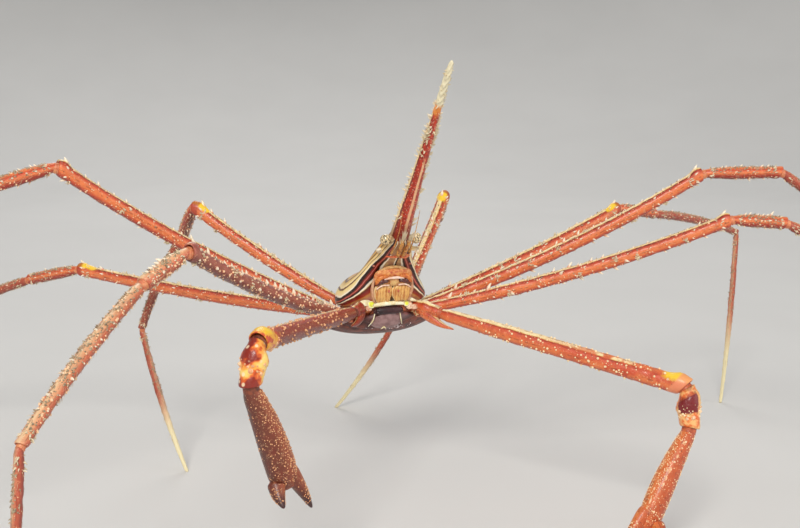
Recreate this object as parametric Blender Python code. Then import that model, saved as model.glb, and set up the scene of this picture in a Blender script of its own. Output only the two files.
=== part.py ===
"""Arrow crab: a still, life-size model standing on its eight walking legs.

The crab faces -Y with its left side towards +X, and the floor is Z = 0.
Places on the body are given in a body frame that starts at the lower edge of
the mouth: sideways, forwards along the body's own axis, and towards the back.
Lengths in the tables are millimetres and angles are degrees.
"""
import math
import random

import bmesh
import bpy
from mathutils import Matrix, Vector

MM = 0.001
GAP = 0.3 * MM                        # free space between neighbouring pieces
WELD = 0.002 * MM
SHARP = math.radians(40)

# Body frame
MOUTH_AT = Vector((-0.4, -8.7, 33.35)) * MM
THORAX_RISE = 25.0                    # above level, rear of the body
HEAD_RISE = 51.0                      # above level, face
ROSTRUM_RISE = 52.5

# Carapace: station along the axis, its rise, lowest and highest line,
# half width, and the height at which it is widest
CARAPACE_STATIONS = [
    (-11.6, 25, 3.4, 4.4, 1.8, 3.8),
    (-10.7, 25, 2.9, 5.5, 3.9, 3.5),
    (-9.0, 25, 2.3, 6.3, 5.5, 2.8),
    (-7.0, 25, 1.8, 6.7, 6.5, 2.2),
    (-4.8, 27, 1.5, 6.7, 7.1, 1.9),
    (-2.8, 32, 1.5, 6.6, 6.8, 2.2),
    (-0.9, 38, 1.6, 6.5, 5.9, 3.2),
    (1.0, 44, 2.0, 6.3, 4.9, 3.6),
    (3.0, 49, 2.7, 6.1, 4.1, 3.7),
    (5.0, 51, 3.0, 5.9, 3.35, 3.9),
    (7.0, 51, 2.7, 5.7, 2.75, 3.9),
    (8.8, 51, 2.4, 5.4, 2.2, 3.9),
    (10.3, 51, 2.3, 5.0, 1.6, 3.8),
    (11.3, 52, 2.7, 4.8, 1.3, 3.7),
]
CARAPACE_SIDES = 20
# Hooked spine behind each eye and the small tooth on the cheek: points and radii
EYE_HOOK = [(1.9, 7.6, 3.9, 0.45), (2.75, 8.0, 3.3, 0.4), (3.15, 8.6, 2.85, 0.28), (2.95, 9.3, 2.45, 0.1)]
CHEEK_TOOTH = [(2.3, 4.4, 3.7, 0.4), (3.3, 4.8, 2.9, 0.3), (3.7, 5.3, 2.35, 0.1)]

# Rostrum: share of its length and radius there
ROSTRUM_LENGTH = 31.0
ROSTRUM_START = (11.6, 3.75)
ROSTRUM_TAPER = [(0.0, 1.35), (0.12, 1.18), (0.3, 0.93), (0.5, 0.72), (0.7, 0.53), (0.85, 0.42),
                 (0.96, 0.34), (1.0, 0.2)]

EYE_RADIUS = 0.83
EYE_AT = (2.35, 10.65, 3.0)           # sideways, forwards, towards the back, in the head's frame

# Leg pairs 1 (claw arm) to 5: where the coxa ends, in the thorax frame
HIPS = {1: (3.9, -1.8, -0.2), 2: (6.0, -3.4, -0.9), 3: (6.4, -5.5, -0.2), 4: (6.1, -7.6, 0.3),
        5: (5.0, -9.6, 2.4)}
COXA_RADIUS = {1: 1.1, 2: 1.05, 3: 1.05, 4: 1.0, 5: 0.95}

# Pose of each walking leg: length, azimuth and rise of merus, carpus and propodus,
# then length and azimuth of the dactyl, which always ends on the floor.
# Azimuth 0 points straight out sideways, positive values forwards.
WALKING_LEGS = {
    "r2": [(47.0, 48, 21.0), (7.0, 25, -25.5), (28.0, 56, -21.0), (35.5, 30)],
    "r3": [(48.5, 10, 30.5), (11.0, 13, -13.5), (33.5, 11, -44.0), (31.0, 12)],
    "r4": [(46.5, -39, 5.0), (10.5, -41, -13.5), (28.0, -38, -24.0), (33.5, -38)],
    "r5": [(28.0, -33, 31.0), (9.0, -84, -39.5), (19.5, -50, -60.0), (25.5, 122)],
    "l2": [(48.0, 28, 18.0), (8.5, 15, -4.0), (31.0, 29, -30.5), (33.5, 28)],
    "l3": [(48.0, 21, 26.0), (12.0, 20, 1.0), (33.0, 22, -39.5), (31.5, -156)],
    "l4": [(47.0, -16, 15.0), (10.5, -19, -11.0), (28.0, -22, -13.0), (34.5, 147)],
    "l5": [(27.5, -51, 29.5), (10.0, -76, -33.0), (19.0, -99, -57.0), (28.0, -149)],
}
# Pose of each claw arm: ischium, merus, carpus and claw
CLAW_ARMS = {
    "r": [(5.0, 54, 2.0), (35.8, 54, 7.0), (5.4, 46, -68.0), (21.0, -149, -67.5)],
    "l": [(5.0, 48, -12.0), (38.2, 48, -9.5), (5.8, 89, -78.5), (21.0, 162, -55.0)],
}

# Radii at the start, middle and end of each segment
SEGMENT_RADII = {
    "merus": (0.8, 0.98, 0.94),
    "carpus": (0.74, 0.9, 0.85),
    "propodus": (0.72, 0.78, 0.6),
    "dactyl": (0.5, 0.55, 0.3),
    "claw_ischium": (0.9, 1.2, 1.0),
    "claw_merus": (0.95, 1.2, 1.3),
    "claw_carpus": (1.05, 1.5, 1.4),
}
# Shares of the length where a segment has a ring of points
SEGMENT_SHARES = {
    "merus": (0.0, 0.05, 0.2, 0.4, 0.6, 0.8, 0.93, 1.0),
    "carpus": (0.0, 0.2, 0.75, 1.0),
    "propodus": (0.0, 0.1, 0.35, 0.65, 0.9, 1.0),
    "dactyl": (0.0, 0.1, 0.35, 0.65, 0.85, 1.0),
    "claw_ischium": (0.0, 0.25, 0.7, 1.0),
    "claw_merus": (0.0, 0.08, 0.3, 0.6, 0.9, 1.0),
    "claw_carpus": (0.0, 0.2, 0.5, 0.8, 1.0),
}
MERUS_SAG = {2: 1.1, 3: 1.3, 4: 0.6, 5: 0.5}
PROPODUS_RISE = 0.6
DACTYL_SAG = 0.8
FOOT_SINK = 0.4                       # how far a dactyl runs on before the floor cuts it

# Thorn rows: angle from the top of the segment, count, height, first and last share
MERUS_THORNS = [(0, 8, 0.7, 0.12, 0.93), (75, 4, 0.55, 0.15, 0.9), (-75, 4, 0.55, 0.15, 0.9),
                (155, 3, 0.6, 0.2, 0.9), (-155, 3, 0.6, 0.2, 0.9)]
FRONT_LEG_SCALE = 1.5                 # thorns of the second pair against the others
SHORT_MERUS_THORNS = [(0, 5, 0.6, 0.15, 0.9), (80, 3, 0.5, 0.2, 0.9), (-80, 3, 0.5, 0.2, 0.9)]
CARPUS_THORNS = [(0, 3, 0.5, 0.15, 0.9), (100, 1, 0.45, 0.3, 0.8), (-100, 1, 0.45, 0.3, 0.8)]
PROPODUS_THORNS = [(0, 4, 0.45, 0.1, 0.85), (120, 2, 0.4, 0.15, 0.8), (-120, 2, 0.4, 0.15, 0.8)]
KNEE_TOOTH = 1.3
CLAW_MERUS_THORNS = [(0, 6, 0.45, 0.12, 0.95), (60, 4, 0.4, 0.15, 0.95), (-60, 4, 0.4, 0.15, 0.95),
                     (130, 3, 0.4, 0.2, 0.9), (-130, 3, 0.4, 0.2, 0.9)]
CLAW_CARPUS_THORNS = [(0, 2, 0.5, 0.2, 0.9), (70, 2, 0.45, 0.2, 0.8), (-70, 2, 0.45, 0.2, 0.8)]
PALM_THORNS = [(angle, 4, 0.35, 0.12, 0.85) for angle in range(0, 360, 60)]
ROSTRUM_THORNS = [(92, 13, 0.75, 0.06, 0.97), (-92, 13, 0.75, 0.06, 0.97)]

# Claw: share of the palm's length, half width across the fingers and half thickness
PALM_LENGTH = 14.4
PALM_PROFILE = [(0.0, 0.55, 0.5), (0.05, 1.05, 0.95), (0.2, 1.65, 1.35), (0.45, 1.98, 1.55),
                (0.75, 2.02, 1.5), (0.92, 1.8, 1.3), (1.0, 1.3, 0.9)]
PALM_SIDES = 14
PALM_OFFSET = 0.25                    # how far the palm's middle lies inwards of the wrist
FINGER_TAPER = [(0.0, 0.55), (0.1, 0.85), (0.4, 0.75), (0.7, 0.48), (0.95, 0.27), (1.0, 0.15)]
FIXED_FINGER = 6.5
FIXED_FINGER_LEAN = 0.17              # sideways run of the fixed finger for each unit of its length
FREE_FINGER = 3.9
FREE_FINGER_TILT = 48.0               # how far the free finger stands forwards of the fixed one

# Abdomen: station, half width, top and bottom, in the thorax frame
ABDOMEN_OUTLINE = [(-0.9, 1.5, -1.5, -1.9), (-1.8, 3.0, -1.5, -2.5), (-3.2, 5.3, -1.6, -3.0),
                   (-5.0, 7.2, -1.7, -3.35), (-7.0, 7.8, -1.7, -3.35), (-9.0, 7.0, -1.5, -2.9),
                   (-10.6, 5.0, -0.8, -2.1), (-11.5, 2.8, -0.1, -1.1)]
ABDOMEN_SEGMENTS = 6
ABDOMEN_STEP = 0.93                   # size of a segment's front edge against its rear edge
ABDOMEN_DROOP = 0.9                   # how far its side edges hang below its middle

COLOURS = {
    "orange_shell": ((0.62, 0.13, 0.035), 0.45),
    "maroon_shell": ((0.22, 0.05, 0.03), 0.45),
    "carapace_shell": ((0.55, 0.3, 0.1), 0.4),
    "rostrum_shell": ((0.5, 0.06, 0.03), 0.4),
    "mouth_shell": ((0.6, 0.3, 0.1), 0.45),
    "abdomen_shell": ((0.12, 0.05, 0.05), 0.3),
    "tan_feeler": ((0.6, 0.33, 0.15), 0.5),
    "eye_cream": ((0.7, 0.6, 0.42), 0.2),
}


def clear_scene():
    for obj in list(bpy.data.objects):
        bpy.data.objects.remove(obj, do_unlink=True)


def new_collection(name):
    collection = bpy.data.collections.new(name)
    bpy.context.scene.collection.children.link(collection)
    return collection


def make_materials():
    materials = {}
    for name, (colour, roughness) in COLOURS.items():
        material = bpy.data.materials.new(name)
        material.use_nodes = True
        shader = material.node_tree.nodes["Principled BSDF"]
        shader.inputs["Base Color"].default_value = (*colour, 1.0)
        shader.inputs["Roughness"].default_value = roughness
        shader.inputs["Metallic"].default_value = 0.0
        materials[name] = material
    return materials


# Directions and places

def heading(side, azimuth, rise):
    """Unit vector on the given side (+1 left, -1 right) of the animal."""
    swing, lift = math.radians(azimuth), math.radians(rise)
    level = math.cos(lift)
    return Vector((side * level * math.cos(swing), -level * math.sin(swing), math.sin(lift)))


def body_axes(rise):
    lift = math.radians(rise)
    forward = Vector((0, -math.cos(lift), math.sin(lift)))
    backside = Vector((0, math.sin(lift), math.cos(lift)))
    return forward, backside


def body_point(sideways, along, up, rise):
    forward, backside = body_axes(rise)
    return MOUTH_AT + (Vector((sideways, 0, 0)) + forward * along + backside * up) * MM


def side_of(name):
    return 1 if name.startswith("l") else -1


def upright(axis):
    """The direction across an axis that points most nearly up."""
    up = Vector((0, 0, 1))
    return (up - axis * up.dot(axis)).normalized()


def between(table, place):
    """Values of a table's rows, read between the two rows nearest to a place."""
    if place <= table[0][0]:
        return table[0][1:]
    for low, high in zip(table, table[1:]):
        if place <= high[0]:
            share = (place - low[0]) / (high[0] - low[0])
            return [a + (b - a) * share for a, b in zip(low[1:], high[1:])]
    return table[-1][1:]


# Meshes

def mesh_object(name, mesh, collection, material=None):
    obj = bpy.data.objects.new(name, mesh)
    collection.objects.link(obj)
    if material:
        mesh.materials.clear()
        mesh.materials.append(material)
    mesh.shade_smooth()
    mesh.set_sharp_from_angle(angle=SHARP)
    return obj


def tube(name, points, radii, collection, material=None, resolution=2):
    """A round bar through the points, its radius given in millimetres at each."""
    curve = bpy.data.curves.new(name + "_path", "CURVE")
    curve.dimensions = "3D"
    curve.bevel_depth = MM
    curve.bevel_resolution = resolution
    curve.use_fill_caps = True
    spline = curve.splines.new("POLY")
    spline.points.add(len(points) - 1)
    for knot, point, radius in zip(spline.points, points, radii):
        knot.co = (*point, 1.0)
        knot.radius = radius
    path = bpy.data.objects.new(name + "_path", curve)
    bpy.context.scene.collection.objects.link(path)
    depsgraph = bpy.context.evaluated_depsgraph_get()
    mesh = bpy.data.meshes.new_from_object(path.evaluated_get(depsgraph))
    mesh.transform(path.matrix_world)
    bpy.data.objects.remove(path, do_unlink=True)
    bpy.data.curves.remove(curve)
    shell = bmesh.new()
    shell.from_mesh(mesh)
    bmesh.ops.remove_doubles(shell, verts=shell.verts, dist=WELD)
    bmesh.ops.recalc_face_normals(shell, faces=shell.faces)
    shell.to_mesh(mesh)
    shell.free()
    mesh.name = name
    return mesh_object(name, mesh, collection, material)


def loft(name, rings, collection, material=None):
    """A closed skin over rings of equal count, with flat ends."""
    shell = bmesh.new()
    rows = [[shell.verts.new(point) for point in ring] for ring in rings]
    count = len(rings[0])
    for low, high in zip(rows, rows[1:]):
        for i in range(count):
            k = (i + 1) % count
            shell.faces.new((low[i], low[k], high[k], high[i]))
    shell.faces.new(rows[0])
    shell.faces.new(rows[-1])
    bmesh.ops.recalc_face_normals(shell, faces=shell.faces)
    mesh = bpy.data.meshes.new(name)
    shell.to_mesh(mesh)
    shell.free()
    return mesh_object(name, mesh, collection, material)


def ball(name, centre, radius, collection, material=None):
    shell = bmesh.new()
    bmesh.ops.create_uvsphere(shell, u_segments=14, v_segments=8, radius=radius,
                              matrix=Matrix.Translation(centre))
    mesh = bpy.data.meshes.new(name)
    shell.to_mesh(mesh)
    shell.free()
    return mesh_object(name, mesh, collection, material)


def largest_surface(mesh):
    """Keep only the biggest closed surface of a mesh."""
    shell = bmesh.new()
    shell.from_mesh(mesh)
    bmesh.ops.remove_doubles(shell, verts=shell.verts, dist=WELD)
    bmesh.ops.dissolve_degenerate(shell, edges=shell.edges, dist=WELD)
    unseen = set(shell.verts)
    groups = []
    while unseen:
        stack = [unseen.pop()]
        group = set(stack)
        while stack:
            vert = stack.pop()
            for edge in vert.link_edges:
                other = edge.other_vert(vert)
                if other in unseen:
                    unseen.remove(other)
                    group.add(other)
                    stack.append(other)
        groups.append(group)
    groups.sort(key=len)
    scraps = [vert for group in groups[:-1] for vert in group]
    bmesh.ops.delete(shell, geom=scraps, context="VERTS")
    shell.to_mesh(mesh)
    shell.free()


def combine(obj, pieces, operation):
    """Join pieces to a node, or cut them from it, and tidy the result."""
    tools = new_collection(obj.name + "_tools")
    for piece in pieces:
        for home in list(piece.users_collection):
            home.objects.unlink(piece)
        tools.objects.link(piece)
        piece.hide_render = True
        piece.display_type = "WIRE"
    modifier = obj.modifiers.new(operation.lower(), "BOOLEAN")
    modifier.operation = operation
    modifier.operand_type = "COLLECTION"
    modifier.collection = tools
    modifier.solver = "EXACT"
    depsgraph = bpy.context.evaluated_depsgraph_get()
    joined = bpy.data.meshes.new_from_object(obj.evaluated_get(depsgraph))
    obj.modifiers.remove(modifier)
    kept = [material for material in obj.data.materials]
    obj.data = joined
    joined.materials.clear()
    for material in kept:
        joined.materials.append(material)
    for polygon in joined.polygons:
        polygon.material_index = 0
    largest_surface(joined)
    joined.shade_smooth()
    joined.set_sharp_from_angle(angle=SHARP)
    for piece in pieces:
        bpy.data.objects.remove(piece, do_unlink=True)
    bpy.data.collections.remove(tools)


# Thorns

def add_thorn(shell, root, direction, height, base):
    """One pointed five-sided cone in a mesh that is being built."""
    turn = Vector((0, 0, 1)).rotation_difference(direction).to_matrix().to_4x4()
    place = Matrix.Translation(root + direction * height / 2) @ turn
    bmesh.ops.create_cone(shell, cap_ends=True, segments=5, radius1=base, radius2=0.0, depth=height,
                          matrix=place)


def grow_thorns(name, surface, rows, seed, scale=1.0):
    """Rows of thorns that lean forwards, on a surface given by share and angle.

    Each is its own object, so that thorns that touch each other join cleanly.
    """
    rng = random.Random(seed)
    thorns = []
    for angle, count, height, first, last in rows:
        for i in range(count):
            share = first + (last - first) * (i + rng.uniform(0.3, 0.7)) / count
            root, outward, forward, radius = surface(share, angle + rng.uniform(-8, 8))
            size = height * scale * rng.uniform(0.8, 1.2)
            direction = (outward + forward * rng.uniform(0.35, 0.7)).normalized()
            sunk = radius * 0.4
            base = min(0.24 + size * 0.12, radius * 0.5)
            shell = bmesh.new()
            add_thorn(shell, root - outward * sunk * MM, direction, (size + sunk) * MM, base * MM)
            mesh = bpy.data.meshes.new(name + "_thorn")
            shell.to_mesh(mesh)
            shell.free()
            thorn = bpy.data.objects.new(mesh.name, mesh)
            bpy.context.scene.collection.objects.link(thorn)
            thorns.append(thorn)
    return thorns


# Limbs

class Segment:
    """A limb segment: a tapered, slightly curved bar with rounded knuckles."""

    def __init__(self, kind, start, end, back_start, back_end, sag=None):
        self.kind = kind
        self.radii = SEGMENT_RADII[kind]
        self.axis = (end - start).normalized()
        self.first = start + self.axis * back_start
        self.last = end - self.axis * back_end
        self.sag = sag if sag is not None else Vector((0, 0, 0))

    def centre(self, share):
        return self.first.lerp(self.last, share) + self.sag * math.sin(math.pi * share) ** 0.8

    def radius(self, share):
        low, middle, high = self.radii
        if share < 0.3:
            return low + (middle - low) * share / 0.3
        return middle + (high - middle) * max(0.0, share - 0.5) / 0.5

    def surface(self, share, angle):
        turn = Matrix.Rotation(math.radians(angle), 3, self.axis)
        outward = turn @ upright(self.axis)
        radius = self.radius(share)
        return self.centre(share) + outward * radius * MM, outward, self.axis, radius

    def knots(self, foot=False):
        """Points and radii of the bar, with a round knuckle at each end but a foot's tip."""
        low, middle, high = self.radii
        points = [self.first - self.axis * low * 0.88 * MM, self.first - self.axis * low * 0.5 * MM]
        sizes = [low * 0.45, low * 0.86]
        for share in SEGMENT_SHARES[self.kind]:
            points.append(self.centre(share))
            sizes.append(self.radius(share))
        if not foot:
            points += [self.last + self.axis * high * 0.5 * MM, self.last + self.axis * high * 0.88 * MM]
            sizes += [high * 0.86, high * 0.45]
        return points, sizes


def setback(radius, before, after):
    """How far a knuckle's centre stays behind a joint that bends."""
    bend = before.angle(after)
    return (radius * MM + GAP / 2) / math.cos(bend / 2)


def knee_tooth(segment):
    """The sharp tooth over the far end of a merus."""
    direction = (upright(segment.axis) + segment.axis * 0.55).normalized()
    radius = segment.radii[2]
    shell = bmesh.new()
    add_thorn(shell, segment.last, direction, (radius + KNEE_TOOTH) * MM, radius * 0.5 * MM)
    mesh = bpy.data.meshes.new("knee_tooth")
    shell.to_mesh(mesh)
    shell.free()
    tooth = bpy.data.objects.new("knee_tooth", mesh)
    bpy.context.scene.collection.objects.link(tooth)
    return tooth


def walking_leg(name, hip, pose, collection, material):
    """The four free segments of one walking leg."""
    side = side_of(name)
    pair = int(name[1])
    joints = [hip]
    headings = []
    for length, azimuth, rise in pose[:3]:
        headings.append(heading(side, azimuth, rise))
        joints.append(joints[-1] + headings[-1] * length * MM)
    length, azimuth = pose[3]
    drop = -math.degrees(math.asin(joints[-1].z / (length * MM)))
    headings.append(heading(side, azimuth, drop))
    joints.append(joints[-1] + headings[-1] * length * MM)
    sags = {"merus": -MERUS_SAG[pair], "carpus": 0.0, "propodus": PROPODUS_RISE, "dactyl": -DACTYL_SAG}
    before = (hip - body_point(side * 2.0, *HIPS[pair][1:], THORAX_RISE)).normalized()
    foot = None
    for i, (kind, sag) in enumerate(sags.items()):
        radii = SEGMENT_RADII[kind]
        is_foot = kind == "dactyl"
        back_end = -FOOT_SINK * MM if is_foot else setback(radii[2], headings[i], headings[i + 1])
        segment = Segment(kind, joints[i], joints[i + 1], setback(radii[0], before, headings[i]), back_end,
                          upright(headings[i]) * sag * MM)
        points, sizes = segment.knots(is_foot)
        bar = tube("leg_" + name + "_" + kind, points, sizes, collection, material)
        thorns = leg_thorns(bar.name, kind, pair, segment)
        if thorns:
            combine(bar, thorns, "UNION")
        if is_foot:
            foot = bar
        before = headings[i]
    combine(foot, [floor_cutter(joints[-1])], "DIFFERENCE")
    return joints


def leg_thorns(name, kind, pair, segment):
    seed = "thorns of " + name
    if kind == "merus":
        rows = SHORT_MERUS_THORNS if pair == 5 else MERUS_THORNS
        scale = FRONT_LEG_SCALE if pair == 2 else 1.0
        return grow_thorns(name, segment.surface, rows, seed, scale) + [knee_tooth(segment)]
    if kind == "carpus":
        return grow_thorns(name, segment.surface, CARPUS_THORNS, seed)
    if kind == "propodus":
        return grow_thorns(name, segment.surface, PROPODUS_THORNS, seed)
    return []


def floor_cutter(around):
    size = 6 * MM
    shell = bmesh.new()
    bmesh.ops.create_cube(shell, size=size, matrix=Matrix.Translation((around.x, around.y, -size / 2)))
    mesh = bpy.data.meshes.new("floor_cutter")
    shell.to_mesh(mesh)
    shell.free()
    cutter = bpy.data.objects.new("floor_cutter", mesh)
    bpy.context.scene.collection.objects.link(cutter)
    return cutter


# Body

def carapace_ring(station):
    along, rise, low, high, half, widest = station
    ring = []
    for i in range(CARAPACE_SIDES):
        angle = 2 * math.pi * i / CARAPACE_SIDES
        across, lift = math.cos(angle), math.sin(angle)
        if lift >= 0:
            x = half * math.copysign(abs(across) ** 1.15, across)
            up = widest + (high - widest) * lift
        else:
            x = half * math.copysign(abs(across) ** 0.9, across)
            up = widest - (widest - low) * abs(lift) ** 0.8
        ring.append(body_point(x, along, up, rise))
    return ring


def body_spike(name, side, path, collection):
    points = [body_point(side * x, along, up, HEAD_RISE) for x, along, up, radius in path]
    return tube(name, points, [radius for *place, radius in path], collection)


def make_carapace(collection, material, clearances):
    rings = [carapace_ring(station) for station in CARAPACE_STATIONS]
    carapace = loft("carapace", rings, collection, material)
    spikes = []
    for side in (-1, 1):
        spikes.append(body_spike("eye_hook", side, EYE_HOOK, collection))
        spikes.append(body_spike("cheek_tooth", side, CHEEK_TOOTH, collection))
        out, along, up = EYE_AT
        centre = body_point(side * out, along, up, HEAD_RISE)
        clearances.append(ball("orbit", centre, EYE_RADIUS * MM + GAP, collection))
    combine(carapace, spikes, "UNION")
    combine(carapace, clearances, "DIFFERENCE")


def make_rostrum(collection, material):
    base = body_point(0, ROSTRUM_START[0], ROSTRUM_START[1], HEAD_RISE)
    forward, backside = body_axes(ROSTRUM_RISE)
    points = [base + forward * ROSTRUM_LENGTH * share * MM for share, radius in ROSTRUM_TAPER]
    rostrum = tube("rostrum", points, [radius for share, radius in ROSTRUM_TAPER], collection, material)

    def surface(share, angle):
        radius, = between(ROSTRUM_TAPER, share)
        outward = Matrix.Rotation(math.radians(angle), 3, forward) @ backside
        centre = base + forward * ROSTRUM_LENGTH * share * MM
        return centre + outward * radius * MM, outward, forward, radius

    combine(rostrum, grow_thorns("rostrum", surface, ROSTRUM_THORNS, "rostrum spinules"), "UNION")


def make_thorax(collection, material):
    rings = []
    for along, half, low, high in [(-0.9, 2.2, -0.4, 0.7), (-1.6, 3.0, -0.8, 0.9), (-4.0, 3.6, -0.9, 1.0),
                                   (-7.5, 3.6, -0.8, 1.3), (-9.5, 3.2, -0.2, 1.9), (-10.8, 2.2, 0.8, 2.6)]:
        ring = []
        for i in range(12):
            angle = 2 * math.pi * i / 12
            x = half * math.copysign(abs(math.cos(angle)) ** 0.6, math.cos(angle))
            lift = math.copysign(abs(math.sin(angle)) ** 0.6, math.sin(angle))
            up = (low + high) / 2 + (high - low) / 2 * lift
            ring.append(body_point(x, along, up, THORAX_RISE))
        rings.append(ring)
    thorax = loft("thorax", rings, collection, material)
    coxae = []
    for pair, (out, along, up) in HIPS.items():
        radius = COXA_RADIUS[pair]
        for side in (-1, 1):
            root = body_point(side * 1.8, along, min(up, 0.9), THORAX_RISE)
            hip = body_point(side * out, along, up, THORAX_RISE)
            axis = (hip - root).normalized()
            tip = hip - axis * (radius * 0.4 * MM + GAP / 2)
            points = [root, tip - axis * radius * 0.6 * MM, tip - axis * radius * 0.2 * MM, tip]
            sizes = [radius * 0.8, radius, radius * 0.8, radius * 0.5]
            coxae.append(tube("coxa", points, sizes, collection))
    combine(thorax, coxae, "UNION")


def abdomen_ring(along, scale):
    half, top, bottom = between(list(reversed(ABDOMEN_OUTLINE)), along)
    half *= scale
    bottom = top + (bottom - top) * scale
    count = 8
    ring = []
    for i in range(count):
        share = -1 + 2 * i / (count - 1)
        ring.append(body_point(share * half, along, top - ABDOMEN_DROOP * share ** 2 * half / 7, THORAX_RISE))
    rim = top - ABDOMEN_DROOP * half / 7 - 0.5
    for i in range(count):
        share = 1 - 2 * i / (count - 1)
        depth = rim + (bottom - rim) * (1 - abs(share) ** 2.4)
        ring.append(body_point(share * half, along, min(depth, rim), THORAX_RISE))
    return ring


def make_abdomen(collection, material):
    """The broad folded abdomen, each segment's rear edge standing proud of the next."""
    start, end = ABDOMEN_OUTLINE[0][0], ABDOMEN_OUTLINE[-1][0]
    length = (end - start) / ABDOMEN_SEGMENTS
    rings = []
    for i in range(ABDOMEN_SEGMENTS):
        rings.append(abdomen_ring(start + length * (i + 0.06), ABDOMEN_STEP))
        rings.append(abdomen_ring(start + length * (i + 0.5), 1.0))
        rings.append(abdomen_ring(start + length * (i + 0.96), 1.0))
    loft("abdomen", rings, collection, material)


def make_maxilliped(side, collection, material):
    name = "maxilliped_" + ("l" if side > 0 else "r")
    rings = []
    for share, half, thick in [(0.0, 0.7, 0.3), (0.12, 1.15, 0.5), (0.4, 1.3, 0.6), (0.7, 1.25, 0.55),
                               (0.92, 1.0, 0.45), (1.0, 0.6, 0.25)]:
        along = 4.6 * share
        mid = 0.48 * along + 0.25 - 0.3 * math.sin(math.pi * share)
        ring = []
        for i in range(12):
            angle = 2 * math.pi * i / 12
            x = side * (1.5 + half * math.cos(angle))
            ring.append(body_point(x, along, mid + thick * math.sin(angle), HEAD_RISE))
        rings.append(ring)
    loft(name, rings, collection, material)


def make_eye(side, collection, material):
    out, along, up = EYE_AT
    centre = body_point(side * out, along, up, HEAD_RISE)
    ball("eye_" + ("l" if side > 0 else "r"), centre, EYE_RADIUS * MM, collection, material)


def make_feelers(side, collection, material):
    mark = "l" if side > 0 else "r"
    short = [body_point(side * 0.42, 8.4, 1.6, HEAD_RISE), body_point(side * 0.45, 10.0, 1.45, HEAD_RISE),
             body_point(side * 0.5, 11.4, 1.2, HEAD_RISE), body_point(side * 0.55, 12.4, 1.35, HEAD_RISE)]
    tube("antennule_" + mark, short, [0.3, 0.33, 0.27, 0.2], collection, material)
    long = [body_point(side * 1.45, 8.6, 1.7, HEAD_RISE), body_point(side * 1.5, 11.0, 1.55, HEAD_RISE),
            body_point(side * 1.75, 14.0, 1.35, HEAD_RISE), body_point(side * 2.1, 17.0, 1.3, HEAD_RISE)]
    tube("antenna_" + mark, long, [0.3, 0.28, 0.25, 0.2], collection, material)


# Claw arms

def ischium_lobe(joints, headings, collection):
    """The pointed lobe that runs under and before the start of the merus."""
    hip, knee, axis = joints[0], joints[1], headings[1]
    before = axis.cross(upright(axis))
    if before.y > 0:
        before.negate()
    aside = (before * 0.5 - upright(axis)).normalized()
    points = [hip.lerp(knee, 0.3) + aside * 0.4 * MM, knee - axis * 0.8 * MM + aside * 1.15 * MM,
              knee + axis * 0.9 * MM + aside * 1.85 * MM, knee + axis * 3.8 * MM + aside * 2.05 * MM]
    return tube("lobe", points, [0.85, 0.74, 0.45, 0.1], collection)


def claw_arm(mark, collection, material):
    side = side_of(mark)
    out, along, up = HIPS[1]
    joints = [body_point(side * out, along, up, THORAX_RISE)]
    headings = []
    for length, azimuth, rise in CLAW_ARMS[mark]:
        headings.append(heading(side, azimuth, rise))
        joints.append(joints[-1] + headings[-1] * length * MM)
    before = (joints[0] - body_point(side * 1.8, along, up, THORAX_RISE)).normalized()
    rows = {"merus": CLAW_MERUS_THORNS, "carpus": CLAW_CARPUS_THORNS}
    for i, kind in enumerate(("ischium", "merus", "carpus")):
        radii = SEGMENT_RADII["claw_" + kind]
        segment = Segment("claw_" + kind, joints[i], joints[i + 1], setback(radii[0], before, headings[i]),
                          setback(radii[2], headings[i], headings[i + 1]))
        points, sizes = segment.knots()
        bar = tube("claw_arm_" + mark + "_" + kind, points, sizes, collection, material, resolution=3)
        if kind in rows:
            combine(bar, grow_thorns(bar.name, segment.surface, rows[kind], "tubercles " + bar.name), "UNION")
        else:
            combine(bar, [ischium_lobe(joints, headings, collection)], "UNION")
        before = headings[i]
    make_claw(mark, joints[3], headings[2], headings[3], collection, material)


def finger(name, start, axis, bend, length, collection, material):
    """A tapered finger that bows by the vector bend."""
    points = [start + axis * length * share * MM + bend * math.sin(math.pi * share) * MM
              for share, radius in FINGER_TAPER]
    return tube(name, points, [radius for share, radius in FINGER_TAPER], collection, material)


def make_claw(mark, wrist, before, axis, collection, material):
    """Palm with its fixed finger, and the finger that moves in life."""
    side = side_of(mark)
    inward = Vector((-side, 0, 0))
    inward = (inward - axis * inward.dot(axis)).normalized()
    front = axis.cross(inward)
    if front.y > 0:
        front.negate()
    start = wrist + axis * (setback(1.0, before, axis) - 1.0 * MM)

    def surface(share, angle):
        wide, thick = between(PALM_PROFILE, share)
        turn = math.radians(angle)
        outward = (inward * math.cos(turn) / wide + front * math.sin(turn) / thick).normalized()
        middle = start + axis * PALM_LENGTH * share * MM
        middle += inward * PALM_OFFSET * math.sin(math.pi * share) * MM
        point = middle + (inward * wide * math.cos(turn) + front * thick * math.sin(turn)) * MM
        return point, outward, axis, thick

    steps = [360 * i / PALM_SIDES for i in range(PALM_SIDES)]
    rings = [[surface(row[0], angle)[0] for angle in steps] for row in PALM_PROFILE]
    palm = loft("claw_" + mark + "_palm", rings, collection, material)
    knuckle = start + axis * PALM_LENGTH * MM
    fixed_axis = (axis + inward * FIXED_FINGER_LEAN).normalized()
    fixed = finger("fixed_finger", knuckle - axis * 1.5 * MM + inward * 0.95 * MM, fixed_axis, inward * 0.15,
                   FIXED_FINGER, collection, material)
    tubercles = grow_thorns(palm.name, surface, PALM_THORNS, "granules " + palm.name)
    combine(palm, [fixed] + tubercles, "UNION")
    tilt = math.radians(FREE_FINGER_TILT)
    free_axis = (axis * math.cos(tilt) + front * math.sin(tilt) - inward * 0.1).normalized()
    free_start = knuckle + axis * 0.75 * MM - inward * 0.75 * MM
    finger("claw_" + mark + "_finger", free_start, free_axis, -inward * 0.2, FREE_FINGER, collection,
           material)


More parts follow.
